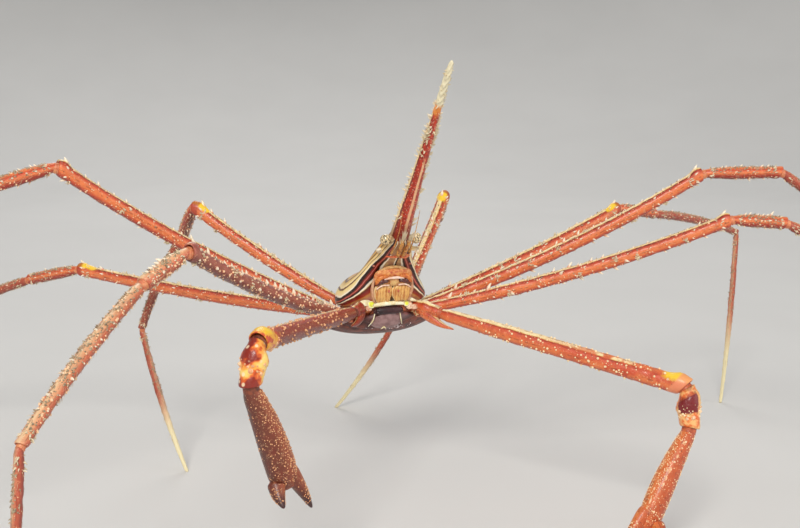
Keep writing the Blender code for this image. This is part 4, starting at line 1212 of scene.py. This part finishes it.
# Bars under the mouth: finish number, radii and places. Pads: place, half width, half length, finish number
THORAX_BARS = [
    (2, [0.2, 0.36, 0.3, 0.22], [(-3.1, 0.0, -0.5), (-1.6, 0.15, -0.36), (0.6, 0.15, -0.36),
                                 (2.2, 0.0, -0.5)]),
    (4, [0.45, 0.56, 0.56, 0.4], [(-2.8, -0.55, -1.3), (-1.3, -0.3, -1.25), (0.4, -0.3, -1.25),
                                  # The finish-4 bar is the dark band under the cream line: partly dark
                                  # sternum, partly painted shade in the gap above the tail
                                  (1.9, -0.55, -1.3)]),
]
THORAX_PADS = [(-3.15, 0.0, -0.3, 0.52, 0.55, 3), (2.35, 0.0, -0.4, 0.44, 0.55, 3),
               (-3.9, -0.4, 0.1, 0.9, 0.5, 2), (-3.5, -0.35, -0.75, 0.5, 0.4, 5),
               (2.9, -0.3, -0.75, 0.55, 0.6, 5), (3.7, -0.5, -1.0, 0.6, 0.4, 5)]
PAD_WAYS = (RIGHT, unit(np.array((0, 0.4, 0.9))), unit(np.array((0, -1.0, 0.3))))
THORAX_STREAK = [(2.6, -0.2, 0.35), (3.3, -0.3, 0.15), (4.3, -0.6, -0.15)]
# Folds beside the mouth: start, run to the side, radius
THORAX_FOLDS = [(3.2, -0.9, 1.3, 1.7, 0.3), (3.0, -1.6, 0.95, 2.4, 0.24), (3.7, -2.3, 1.3, 2.6, 0.3)]


def coxa_skin(mark, pair):
    """The first short segment of a limb, out of the thorax."""
    side, radius = side_of(mark), COXA_RADIUS[pair]
    out, along, up = HIPS[pair]
    root, hip = body_point(side * 1.4, along, min(up, 0.9)), body_point(side * out, along, up)
    axis = unit(hip - root)
    pose = CLAW_ARMS[mark] if pair == 1 else WALKING_LEGS[mark + str(pair)]
    after = heading(side, *pose[0][1:])
    coxa = Limb("coxa", [root, hip], [axis, after], 0, axis, 0.0, (radius, radius * 1.08, radius * 1.02))
    return limb_skin(coxa, "share", "turn")


def make_thorax():
    piece = Assembly("thorax_shell", "orange_shell", "sternum_bands", "coxa_net", "fold_cream",
                     "spot_yellow_green", "front_band_purple_shade", "pale_pink_skin")
    along = np.linspace(THORAX_OUTLINE[0][0], THORAX_OUTLINE[-1][0], 60)[:, None]
    half, low, high = np.moveaxis(read_curve(THORAX_OUTLINE, along), -1, 0)
    across, lift = (np.sign(wave) * np.abs(wave) ** 0.6 for wave in (np.cos(circle(48)), np.sin(circle(48))))
    up = (low + high) / 2 + (high - low) / 2 * lift
    piece.add(skin_parts(body_point(half * across, along, up), {"height": up}))
    for pair in HIPS:
        for mark in ("r", "l"):
            piece.add(coxa_skin(mark, pair), 1)
    for number, radii, line in THORAX_BARS:
        piece.bar(number, body_points(line), radii, (0, 0, 1), 24, 50)
    for x, along, up, wide, high, number in THORAX_PADS:
        piece.pad(number, body_point(x, along, up), PAD_WAYS, wide, high, 0.17)
    piece.bar(2, body_points(THORAX_STREAK), [0.2, 0.3, 0.12], (0, 0, 1))
    for side in (-1, 1):
        for x, along, up, run, radius in THORAX_FOLDS:
            start = body_point(side * x, along, up)
            end = body_point(side * (x + run), along - 1.7, up - 0.45)
            piece.bar(2, [start, (start + end) / 2 + (0, -0.15, 0.25), end],
                      [radius * 0.7, radius, radius * 0.5], (0, 0, 1), 16, 20)
    piece.settle("thorax")


def make_abdomen():
    start, end = ABDOMEN_OUTLINE[-1][0], ABDOMEN_OUTLINE[0][0]
    length = (end - start) / ABDOMEN_SEGMENTS
    table = np.array([(start + length * (i + k), scale)
                      for i in range(ABDOMEN_SEGMENTS) for k, scale in SEGMENT_SWELL])
    places, scales = table[:, :1], table[:, 1:]
    half, top, bottom = np.moveaxis(read_curve(ABDOMEN_OUTLINE, places), -1, 0)
    half = half * scales
    bottom = top + (bottom - top) * scales
    share = np.linspace(-1, 1, 41)
    upper = top - ABDOMEN_DROOP * share ** 2 * half / 7
    rim = top - ABDOMEN_DROOP * half / 7 - 0.5
    lower = np.minimum(rim + (bottom - rim) * (1 - np.abs(share[::-1]) ** 2.4), rim)
    x = np.concatenate([share, share[::-1]]) * half
    shell = Assembly("abdomen_shell", "abdomen_shell", "abdomen_glaze")
    shell.add(skin_parts(body_point(x, places, np.concatenate([upper, lower], 1)),
                         {"along": places, "across": np.abs(x)}))
    shell.settle("abdomen")


TAIL_LINES = [[(-2.6, -0.4, -1.4), (-2.8, -1.2, -2.4), (-3.3, -2.5, -3.1)],
              [(1.3, -0.4, -1.5), (1.6, -1.2, -2.4), (2.1, -2.5, -3.1)]]
CHEVRON_ENDS = (-1.35, -0.55)


def make_tail_plate():
    """The pale last plate of the folded tail, with a cream line on each side and a small white chevron."""
    piece = Assembly("tail_plate", "abdomen_shell", "tail_plate_lavender", "fold_cream")
    piece.pad(0, body_point(-0.45, -1.95, -2.3), (RIGHT, body_way(2.5, 1.8), body_way(1.8, -2.5)),
              2.45, 1.6, 0.75, 2.0, -0.22)
    for line in TAIL_LINES:
        piece.bar(1, body_points(line), [0.06, 0.1, 0.05], (0, -1, 0), 14, 20)
    for end in CHEVRON_ENDS:
        arm = [(-0.95, -2.15, -3.35), ((end - 0.95) / 2, -2.3, -3.5), (end, -2.55, -3.62)]
        piece.bar(1, body_points(arm), [0.09, 0.1, 0.04], (0, -1, 0), 12, 12)
    piece.settle()
    # Pale glossy beads along the front edge: real bumps, whose pale colour paints the glints there
    beads = Spots()
    rng = random.Random("tail beads")
    for i in range(46):
        x = rng.uniform(-0.4, 2.4) if i < 36 else rng.uniform(-5.0, 5.0)
        along = -3.6 - rng.uniform(0, 1.2)
        root = body_point(x, along, -3.05 - 0.12 * (-3.6 - along) + 0.015 * x * x)
        beads.add(root, body_way(1, 0) - body_way(0, 1) * 0.8, RIGHT, rng.uniform(0.5, 1.2))
    plant("tail_beads", beads, "beads", "abdomen_shell")


# Mouth, on its front. Pads: finish number, place, half width, half length, thickness, squareness and taper.
# Bars: finish number, radii, sides, rings and places
MOUTH_PLATES = [(0, (1.42, 1.42, 0.1), 1.45, 1.5, 0.55, 2.6, 0.07),
                (0, (0.72, 1.35, 0.42), 0.5, 1.3, 0.3, 2.2, 0.1),
                (0, (2.15, 1.3, 0.42), 0.55, 1.2, 0.3, 2.2, 0.1)]
# Finish 1 is the dark slit: a dark bar painted as the shade inside a recess
MOUTH_FOLDS = [(1, [0.16, 0.42, 0.2], 24, 24, [(2.75, 2.75, 0.42), (1.75, 3.35, 0.42), (0.75, 3.3, 0.42)]),
               (2, [0.08, 0.12, 0.1], 14, 24, [(2.8, 2.45, 0.78), (1.8, 2.98, 0.78), (0.7, 2.95, 0.78)]),
               (3, [0.2, 0.36, 0.28], 24, 24, [(2.85, 3.0, 0.55), (2.1, 3.95, 0.55), (0.9, 4.15, 0.55)])]
MIDDLE_RIM = [(-1.6, 3.85, 0.75), (-0.6, 4.0, 0.75), (0.6, 4.0, 0.75), (1.6, 3.85, 0.75)]
MIDDLE_PADS = [(4, (0.1, 3.2, 0.5), 0.75, 0.65, 0.22, 2.4), (7, (0, 4.3, 0.12), 1.3, 0.62, 0.36, 2.4),
               (6, (-0.4, 4.55, 0.42), 0.3, 0.1, 0.1, 2.0), (6, (0.35, 4.6, 0.42), 0.3, 0.1, 0.1, 2.0),
               (6, (0.15, 4.25, 0.42), 0.3, 0.1, 0.1, 2.0)]
LINTEL = [(-2.7, 4.35, 0.1), (-1.0, 4.85, -0.1), (1.0, 4.85, -0.1), (2.7, 4.35, 0.1)]
MOUTH_SIDE = [(2.6, -0.1, 0.1), (3.15, 1.6, 0.1), (2.95, 3.6, 0.1)]
MOUTH_SPOTS = [(6, (0.75, 2.2, 0.95), 0.17, 0.24, 0.08, 2.0), (7, (1.4, 3.6, 0.0), 1.6, 1.3, 0.4, 2.6)]


def mouth_point(x, along, lift=0.0):
    """A place on the front of the mouth field."""
    return body_point(x, along, 0.48 * along + 0.05 - lift, HEAD_RISE)


def mouth_line(places, side=1):
    return [mouth_point(side * x, along, lift) for x, along, lift in places]


def make_mouth(mark):
    """A third maxilliped's broad plate with the dark slit, rim and folds above it. The dark slit is painted
    shade of a recess.
    """
    side = side_of(mark)
    ahead = unit(mouth_point(0, 1.0) - mouth_point(0, 0.0))
    out = facing_front(np.cross(RIGHT, ahead))
    piece = Assembly("maxilliped_" + mark + "_plate", "mouth_shell", "mouth_plates", "slit_dark_shade",
                     "rim_pinkish_white", "brow_orange", "lintel_gold", "mouth_frame_pinkish", "ring_red",
                     "mouth_floor_orange")

    def set_pads(rows, side):
        for number, place, *shape in rows:
            piece.pad(number, mouth_line([place], side)[0], (RIGHT, ahead, out), *shape)

    set_pads(MOUTH_PLATES, side)
    for number, radii, sides, count, places in MOUTH_FOLDS:
        piece.bar(number, mouth_line(places, side), radii, out, sides, count)
    if side > 0:
        piece.bar(2, mouth_line(MIDDLE_RIM), [0.08, 0.17, 0.19, 0.08], out, 20, 30)
        set_pads(MIDDLE_PADS, 1)
        piece.bar(4, mouth_line(LINTEL), [0.14, 0.24, 0.24, 0.14], out, 24, 40)
    piece.bar(5, mouth_line(MOUTH_SIDE, side), [0.2, 0.24, 0.16], out)
    set_pads(MOUTH_SPOTS, side)
    piece.settle("maxilliped_" + mark)
    fringe = Spots()
    rng = random.Random("mouth fringe " + mark)
    for i in range(150):
        x = rng.uniform(0.2, 2.7)
        root = mouth_point(side * x, 0.05 + 0.1 * abs(x - 1.4), 0.15 + rng.uniform(0, 0.3))
        fringe.add(root, out * 0.5 - ahead * rng.uniform(0.7, 1.2) + RIGHT * rng.uniform(-0.3, 0.3), -ahead,
                   rng.uniform(0.5, 1.1), (0.5 + side * x / 8, rng.random() * 0.2))
    plant("mouth_fringe_" + mark, fringe, "fringe", "mouth_shell")


# Finishes of this crab. Ramps hold places from 0 to 1 and colours

FLANK_STOPS = [(0.0, NEAR_BLACK), (0.075, NEAR_BLACK), (0.088, DARK_RED), (0.115, RED), (0.126, PINK),
               (0.137, RED), (0.16, DARK_RED), (0.178, NEAR_BLACK), (0.208, NEAR_BLACK), (0.22, WHITE),
               (0.25, WHITE), (0.26, GOLD), (0.275, BROWN), (0.3, DARK_RED), (0.4, RED), (0.44, TAN),
               (0.6, PINK), (0.8, TAN), (1.0, GOLD)]
BACK_STOPS = [(0.0, WHITE), (0.025, WHITE), (0.035, CREAM), (0.1, YELLOW_CREAM), (0.115, BROWN),
              (0.13, BROWN), (0.145, CREAM), (0.235, GOLD), (0.255, BROWN), (0.275, GREY_BROWN),
              (0.3, GOLD), (0.38, TAN), (0.4, BROWN), (0.44, BROWN), (0.46, GOLD), (0.55, TAN),
              (0.575, BROWN), (0.6, TAN), (0.72, GOLD), (0.76, DARK_RED), (0.8, BROWN), (0.84, TAN),
              (1.0, GOLD)]
ELBOW_STOPS = [(0.0, rgb(110, 26, 16)), (0.46, rgb(140, 36, 18)), (0.52, rgb(214, 92, 34)),
               (0.57, rgb(246, 166, 70)), (0.66, rgb(254, 214, 116)), (1.0, CREAM)]
# The light-orange band at 0.45 to 0.58 is partly painted highlight, and the darker red towards the underside
# is partly painted shade
MERUS_STOPS = [(0.0, YELLOW_CREAM), (0.1, CREAM), (0.135, GOLD), (0.16, ORANGE_BROWN), (0.19, RED),
               (0.3, ORANGE), (0.45, LIGHT_ORANGE), (0.58, LIGHT_ORANGE), (0.72, ORANGE), (0.84, RED),
               (1.0, rgb(150, 58, 40))]
DARK_MERUS_STOPS = [(0.0, rgb(220, 170, 140)), (0.1, rgb(196, 118, 96)), (0.25, rgb(162, 80, 66)),
                    (0.5, rgb(176, 98, 80)), (0.75, rgb(130, 62, 54)), (1.0, rgb(100, 48, 46))]
CARPUS_STOPS = [(0.0, rgb(226, 170, 130)), (0.12, LIGHT_ORANGE), (0.3, ORANGE), (0.45, LIGHT_ORANGE),
                (0.65, RED), (1.0, BROWN)]
FRONT_FAR_STOPS = [(0.0, rgb(238, 200, 154)), (0.2, rgb(232, 166, 122)), (0.42, rgb(214, 110, 76)),
                   (0.7, rgb(170, 78, 56)), (1.0, rgb(112, 52, 42))]
FAR_STOPS = [(0.0, rgb(214, 170, 134)), (0.12, rgb(204, 124, 90)), (0.3, rgb(184, 84, 56)),
             (0.6, rgb(160, 66, 46)), (1.0, rgb(116, 50, 40))]
ARM_STOPS = {
    "r": [(0.0, CREAM), (0.06, TAN), (0.1, RED), (0.3, rgb(150, 58, 44)), (0.6, rgb(126, 50, 38)),
          (1.0, rgb(92, 40, 34))],
    "l": [(0.0, CREAM), (0.15, CREAM), (0.19, GOLD), (0.22, RED), (0.3, ORANGE), (0.6, LIGHT_ORANGE),
          (0.85, ORANGE), (1.0, RED)],
}
PALM_STOPS = {
    "r": [(0.0, rgb(182, 96, 50)), (0.25, rgb(150, 72, 38)), (0.5, rgb(112, 50, 28)), (1.0, rgb(76, 34, 22))],
    "l": [(0.0, rgb(226, 128, 62)), (0.25, rgb(214, 104, 46)), (0.45, rgb(196, 86, 34)),
          (0.7, rgb(188, 80, 38)), (1.0, rgb(222, 124, 62))],
}
ORANGE_PATCHES = [(0.0, LIGHT_ORANGE), (0.3, ORANGE), (1.0, ORANGE)]

# Striped shells: the stops and what else lies on them
SHELL_FINISHES = {
    "merus_stripes": (MERUS_STOPS, {"dashes": 0.17}),
    "back_merus_stripes": (MERUS_STOPS, {"knee": YELLOW, "dashes": 0.17}),
    "front_merus_stripes": (DARK_MERUS_STOPS, {}),
    "carpus_stripes": (CARPUS_STOPS, {}),
    "front_carpus_stripes": (FRONT_FAR_STOPS, {}),
    "propodus_stripes": (FAR_STOPS, {}),
    "front_propodus_stripes": (FRONT_FAR_STOPS, {}),
    "dactyl_stripes": (FAR_STOPS, {"tip": (rgb(240, 226, 180), 0.4, 0.75)}),
    "front_dactyl_stripes": (FAR_STOPS, {"tip": (rgb(230, 214, 170), 0.6, 0.95)}),
    "right_arm_merus": (ARM_STOPS["r"], {"gold_end": (0.925, 0.96)}),
    "left_arm_merus": (ARM_STOPS["l"], {"knee": YELLOW, "rim": rgb(238, 146, 104),
                                        "patchy": (0.4, 0.75, ORANGE_PATCHES)}),
}
# Spines: the colour at the foot and at the tip
THORN_FINISHES = {
    "spinule_cream": (rgb(224, 160, 112), rgb(244, 232, 204)),
    "fan_cream": (rgb(226, 166, 96), rgb(250, 236, 206)),
    "tubercle_peach": (rgb(216, 110, 68), rgb(246, 206, 164)),
    "thorn_cream": (rgb(222, 128, 84), rgb(246, 232, 206)),
    "bristle_pale": (rgb(196, 150, 110), rgb(222, 204, 170)),
    "granule_tan": (rgb(176, 92, 54), rgb(226, 168, 120)),
    "granule_cream": (rgb(230, 140, 90), rgb(250, 226, 180)),
}
# Two drifting colours, the scale of the drift, roughness, depth of the relief, coat and subsurface
PLAIN_FINISHES = {
    "hook_cream": (WHITE, CREAM),
    "tooth_pink": (rgb(206, 116, 96), rgb(236, 190, 170)),
    "tuft_pale": (rgb(238, 226, 196), rgb(206, 186, 150), 2.5, 0.7, 0.02, 0.0),
    "under_feelers_red": (rgb(206, 58, 30), rgb(236, 150, 84), 2.6),
    "stalk_cream": (rgb(228, 204, 158), rgb(150, 112, 70), 2.5),
    "feeler_tan": (rgb(232, 172, 84), rgb(158, 84, 42), 3.0),
    "fold_cream": (rgb(250, 244, 214), rgb(232, 214, 160)),
    "tail_plate_lavender": (rgb(160, 124, 122), rgb(126, 90, 88), 0.9, 0.32, 0.03, 0.3),
    # Pale colour of the beads paints glints
    "bead_pale_glint": (rgb(232, 214, 214), rgb(190, 150, 150), 2.0, 0.15, 0.01, 0.9),
    # Painted shade of the recess in the mouth
    "slit_dark_shade": (rgb(62, 24, 20), rgb(96, 32, 26), 1.5, 0.25, 0.01, 0.6),
    "rim_pinkish_white": (rgb(248, 222, 206), rgb(236, 188, 160), 1.8),
    "brow_orange": (rgb(230, 140, 56), rgb(190, 92, 44), 2.0),
    "lintel_gold": (rgb(222, 184, 118), rgb(190, 126, 76), 2.2),
    "mouth_frame_pinkish": (rgb(220, 172, 136), rgb(188, 128, 92), 1.4),
    "mouth_floor_orange": (rgb(234, 168, 98), rgb(200, 104, 56), 2.0),
    "pale_pink_skin": (rgb(246, 222, 190), rgb(208, 124, 84), 2.2, 0.4, 0.08),
    "crust_grey": (rgb(196, 178, 148), rgb(140, 120, 96), 2.5, 0.8, 0.05, 0.0),
    "ring_red": (rgb(170, 44, 30), rgb(214, 120, 90), 3.0),
    "knob_cream": (rgb(252, 228, 190), rgb(232, 160, 106), 2.2),
    "right_joint_skin_brown": (rgb(138, 66, 38), rgb(92, 40, 26), 1.5, 0.5, 0.03, 0.25, 0.2),
    "left_joint_skin_rust": (rgb(206, 104, 58), rgb(164, 70, 40), 1.5, 0.5, 0.03, 0.25, 0.2),
    "joint_skin_peach": (rgb(226, 150, 104), rgb(204, 112, 74), 1.5, 0.5, 0.03, 0.25, 0.3),
}


def carapace_paint():
    """Cream, gold, black and red-brown lines that run from the legs up to the rostrum."""
    paint = Paint("carapace_stripes", 0.33)
    stripe = paint.sway(paint.mark("stripe"), 0.08, 1.1)
    flank = paint.ramp(paint.times(stripe, 0.25), FLANK_STOPS, smooth=False)
    back = paint.ramp(paint.times(stripe, -1 / 3), BACK_STOPS, smooth=False)
    paint.colour = paint.mix(paint.step(stripe, -0.02, 0.02), back, flank)
    # The face between the eyes and the mouth: tan and grey, with a white and a black line down its middle
    face = paint.times(paint.step(paint.mark("along"), 1.4, 3.2), paint.step(stripe, 0.99, 1.04))
    ground = paint.mix(paint.cloud(0.4, 0.6, 1.6), rgb(196, 160, 112), rgb(176, 128, 96))
    drift = paint.math("MULTIPLY_ADD", paint.noise(1.4, 2.0), 0.3, -0.3)
    lean = paint.math("ADD", paint.mark("across"), drift)
    ground = paint.mix(paint.band(lean, 0.05, 0.08, 0.05), ground, WHITE)
    paint.lay(face, paint.mix(paint.band(lean, 0.27, 0.1, 0.04), ground, NEAR_BLACK))
    paint.lay(paint.step(paint.noise(3.2, 4.0, 0.7), 0.62, 0.75, 0.0, 0.35), BROWN)
    paint.shell_relief(0.03)


def rostrum_paint():
    """Red, with cream lines along its edges, and a cream tip."""
    paint = Paint("rostrum_stripes", 0.35)
    turn, share = paint.sway(paint.mark("turn"), 0.03, 1.5), paint.mark("share")
    paint.colour = paint.mix(paint.cloud(0.4, 0.65, 1.8, 4.0), rgb(160, 34, 16), rgb(206, 58, 24))
    paint.lay(paint.band(turn, 0.5, 0.06, 0.05), CREAM)
    paint.lay(paint.band(turn, 0.62, 0.02, 0.03), DARK_RED)
    paint.lay(paint.band(turn, 1.0, 0.04, 0.04), rgb(240, 186, 140), paint.step(share, 0.42, 0.5, 1.0, 0.0))
    paint.lay(paint.step(paint.cells(2.2), 0.2, 0.12), rgb(244, 196, 140), 0.7)
    paint.lay(paint.step(share, 0.0, 0.12, 0.6, 0.0), DARK_RED)
    ragged = paint.sway(share, 0.05, 1.2)
    paint.lay(paint.step(ragged, 0.7, 0.74), rgb(232, 140, 56))
    paint.lay(paint.step(ragged, 0.75, 0.78), rgb(236, 226, 192))
    paint.shell_relief(0.05, 7.0, 18.0)


def eye_paint():
    """Cream under a broken dark net."""
    paint = Paint("eye_net", 0.18, 0.8, 0.06)
    paint.colour = paint.mix(paint.noise(1.0), rgb(246, 228, 184), rgb(224, 190, 132))
    paint.lay(paint.step(paint.cells(2.3, "DISTANCE_TO_EDGE"), 0.05, 0.12, 1.0, 0.0), rgb(48, 34, 20),
              paint.cloud(0.36, 0.5, 1.6, 2.0))
    paint.finish(paint.cells(9.0), 0.012)


def coxa_paint():
    """Red-brown and orange, crossed by fine cream lines."""
    paint = Paint("coxa_net", 0.38)
    paint.colour = paint.mix(paint.cloud(0.38, 0.62, 1.0, 4.0, 0.65), rgb(158, 66, 34), rgb(224, 120, 62))
    paint.lay(paint.step(paint.cells(0.75, "DISTANCE_TO_EDGE"), 0.03, 0.08, 1.0, 0.0), rgb(248, 220, 158),
              paint.cloud(0.44, 0.54, 0.7, 2.0))
    paint.shell_relief(0.05)


def right_elbow_paint():
    """Bright gold patches with dark red between them and pale knobs."""
    paint = Paint("right_elbow_patches", 0.34)
    paint.colour = paint.ramp(paint.noise(0.42, 3.0, 0.5), ELBOW_STOPS)
    paint.lay(paint.step(paint.cells(0.9), 0.3, 0.16), rgb(252, 226, 186), 0.8)
    paint.finish(paint.noise(1.4), 0.12)


def left_elbow_paint():
    """Orange with a cream rim round one dark red patch on its front."""
    paint = Paint("left_elbow_patch", 0.34)
    paint.colour = paint.mix(paint.cloud(0.4, 0.6, 1.2, 4.0, 0.6), rgb(232, 112, 48), rgb(250, 190, 120))
    front = paint.mark("front")
    facing = paint.math("MULTIPLY_ADD", front, 0.57, paint.times(paint.mark("top"), 0.82))
    paint.lay(paint.step(paint.sway(facing, 0.15, 0.8), 0.5, 0.66), rgb(122, 18, 22),
              paint.band(paint.sway(paint.mark("share"), 0.15, 0.8), 0.4, 0.36, 0.1))
    paint.lay(paint.step(paint.sway(front, 0.15, 0.8), -0.5, -0.7), rgb(250, 220, 156), 0.8)
    paint.shell_relief(0.1, 2.5, 9.0)


def sternum_paint():
    """Cream on top and dark purple under the front edge, with pale specks. The dark purple is partly the
    sternum's own colour, partly painted shade under the edge.
    """
    paint = Paint("sternum_bands")
    height = paint.sway(paint.mark("height"), 0.15, 1.5)
    # Purple-brown below the cream: partly own colour, partly painted shade
    paint.colour = paint.mix(paint.step(height, 0.2, 0.4), PURPLE_BROWN, rgb(240, 232, 196))
    paint.lay(paint.cloud(0.66, 0.72, 7.0, 2.0), rgb(216, 190, 190))
    paint.shell_relief(0.03)


def spot_paint():
    """Yellow-green in the middle, cream at the rim."""
    paint = Paint("spot_yellow_green")
    paint.colour = paint.mix(paint.cloud(0.4, 0.6, 1.6), rgb(236, 240, 50), rgb(206, 200, 60))
    paint.lay(paint.step(paint.sway(paint.mark("rim"), 0.3, 1.5, 2.0), 0.6, 0.95), rgb(246, 238, 190))
    paint.shell_relief(0.04)


def front_band_paint():
    """Dark purple with tiny pale specks: partly the sternum's own dark colour, partly painted shade in the
    gap above the tail.
    """
    paint = Paint("front_band_purple_shade", 0.45, 0.08)
    paint.colour = paint.mix(paint.cloud(0.35, 0.65, 0.9), rgb(34, 12, 16), rgb(62, 24, 28))
    paint.lay(paint.step(paint.cells(3.0), 0.14, 0.08), rgb(216, 190, 196))
    paint.shell_relief(0.03)


def mouth_paint():
    """Gold-tan plates with cream rims and fine brown and cream lines along them."""
    paint = Paint("mouth_plates", 0.38)
    paint.colour = paint.mix(paint.cloud(0.35, 0.65, 1.3), rgb(224, 166, 86), rgb(198, 124, 56))
    across = paint.sway(paint.mark("u"), 0.2, 1.6, 2.0)
    for place in (-0.5, 0.3):
        paint.lay(paint.band(across, place, 0.015, 0.05), rgb(150, 78, 44), 0.7)
    for place in (-0.25, 0.05, 0.5):
        paint.lay(paint.band(across, place, 0.03, 0.08), rgb(244, 206, 130), 0.6)
    paint.lay(paint.step(paint.mark("rim"), 0.9, 0.97), CREAM)
    paint.shell_relief(0.03)


def abdomen_paint():
    """Brown and purple-black, paler where it comes up to the mouth."""
    paint = Paint("abdomen_glaze", 0.42, 0.08, 0.15)
    paint.colour = paint.mix(paint.cloud(0.35, 0.65, 0.8, 4.0), rgb(128, 58, 38), rgb(64, 24, 24))
    paint.lay(paint.step(paint.mark("along"), -2.6, -1.4, 0.0, 0.5), LAVENDER)
    paint.shell_relief(0.04, 5.0, 14.0)


def make_paints():
    for make in (carapace_paint, rostrum_paint, eye_paint, coxa_paint, right_elbow_paint, left_elbow_paint,
                 sternum_paint, spot_paint, front_band_paint, mouth_paint, abdomen_paint):
        make()
    for name, finish in PLAIN_FINISHES.items():
        plain_paint(name, *finish)
    for name, (foot, tip) in THORN_FINISHES.items():
        thorn_paint(name, foot, tip)
    for name, (stops, layers) in SHELL_FINISHES.items():
        shell_paint(name, stops, **layers)
    for mark, stops in ARM_STOPS.items():
        shell_paint("claw_ischium_" + mark, stops, mottle=0.5)
        shell_paint("palm_" + mark, PALM_STOPS[mark])
        shell_paint("finger_" + mark, PALM_STOPS[mark], tip=(rgb(62, 20, 18), 0.35, 0.9))


# Camera, floor and light

def make_camera():
    data = bpy.data.cameras.new("camera")
    data.lens, data.sensor_width = LENS, SENSOR
    data.clip_start, data.clip_end = 0.01, 20.0
    camera = show("camera", data)
    camera.location = CAMERA_AT * MM
    camera.rotation_euler = (math.radians(90 - CAMERA_DIP), 0, math.radians(-CAMERA_TURN))
    bpy.context.scene.camera = camera


def make_lamp(name, place, size, power, colour):
    """A round lamp that shines on the crab's mouth."""
    data = bpy.data.lights.new(name, "AREA")
    data.shape = "DISK"
    data.size, data.energy, data.color = size, power, colour
    lamp = show(name, data)
    lamp.location = place
    towards = unit(MOUTH_AT * MM - place)
    lamp.rotation_euler = (math.acos(-towards[2]), 0, math.atan2(-towards[0], towards[1]))


def make_stage():
    """A round floor that curves up to a wall, with pale light round it."""
    wall = [(FLOOR_CURVE * (1 + math.sin(t)), FLOOR_CURVE * (1 - math.cos(t)))
            for t in np.linspace(0.06, 1.3, 24)]
    profile = [(0.5, 0), (60, 0), (150, 0), (300, 0), (FLOOR_CURVE, 0), *wall, (1300, 900)]
    points = [(radius * math.cos(turn), radius * math.sin(turn), height)
              for radius, height in profile for turn in circle(FLOOR_SIDES)]
    edges = [(i, (i + 1) % FLOOR_SIDES) for i in range(FLOOR_SIDES)]
    faces = [(low + FLOOR_SIDES + a, low + FLOOR_SIDES + b, low + b, low + a)
             for low in range(0, len(points) - FLOOR_SIDES, FLOOR_SIDES) for a, b in edges]
    mesh = bpy.data.meshes.new("floor")
    mesh.from_pydata((np.array(points) * MM).tolist(), [], faces + [tuple(range(FLOOR_SIDES))])
    mesh.shade_smooth()
    paint = Paint("floor_pale", 0.7, 0.0)
    paint.colour = paint.mix(paint.noise(0.02, 2.0), rgb(214, 212, 208), rgb(222, 220, 216))
    mesh.materials.append(paint.finish())
    show("floor", mesh)
    scene = bpy.context.scene
    scene.world = bpy.data.worlds.new("studio")
    scene.world.use_nodes = True
    background = scene.world.node_tree.nodes["Background"].inputs
    background["Color"].default_value = (0.8, 0.82, 0.86, 1)
    background["Strength"].default_value = 0.5
    for name, lamp in LAMPS.items():
        make_lamp(name, *lamp)
    scene.view_settings.view_transform = "Standard"


def main():
    make_camera()
    make_paints()
    make_carapace()
    make_rostrum()
    make_thorax()
    make_abdomen()
    make_tail_plate()
    for mark in ("r", "l"):
        make_eye(mark)
        make_feelers(mark)
        make_mouth(mark)
    for name in WALKING_LEGS:
        make_leg(name)
    for mark in CLAW_ARMS:
        make_claw_arm(mark)
    make_stage()


main()
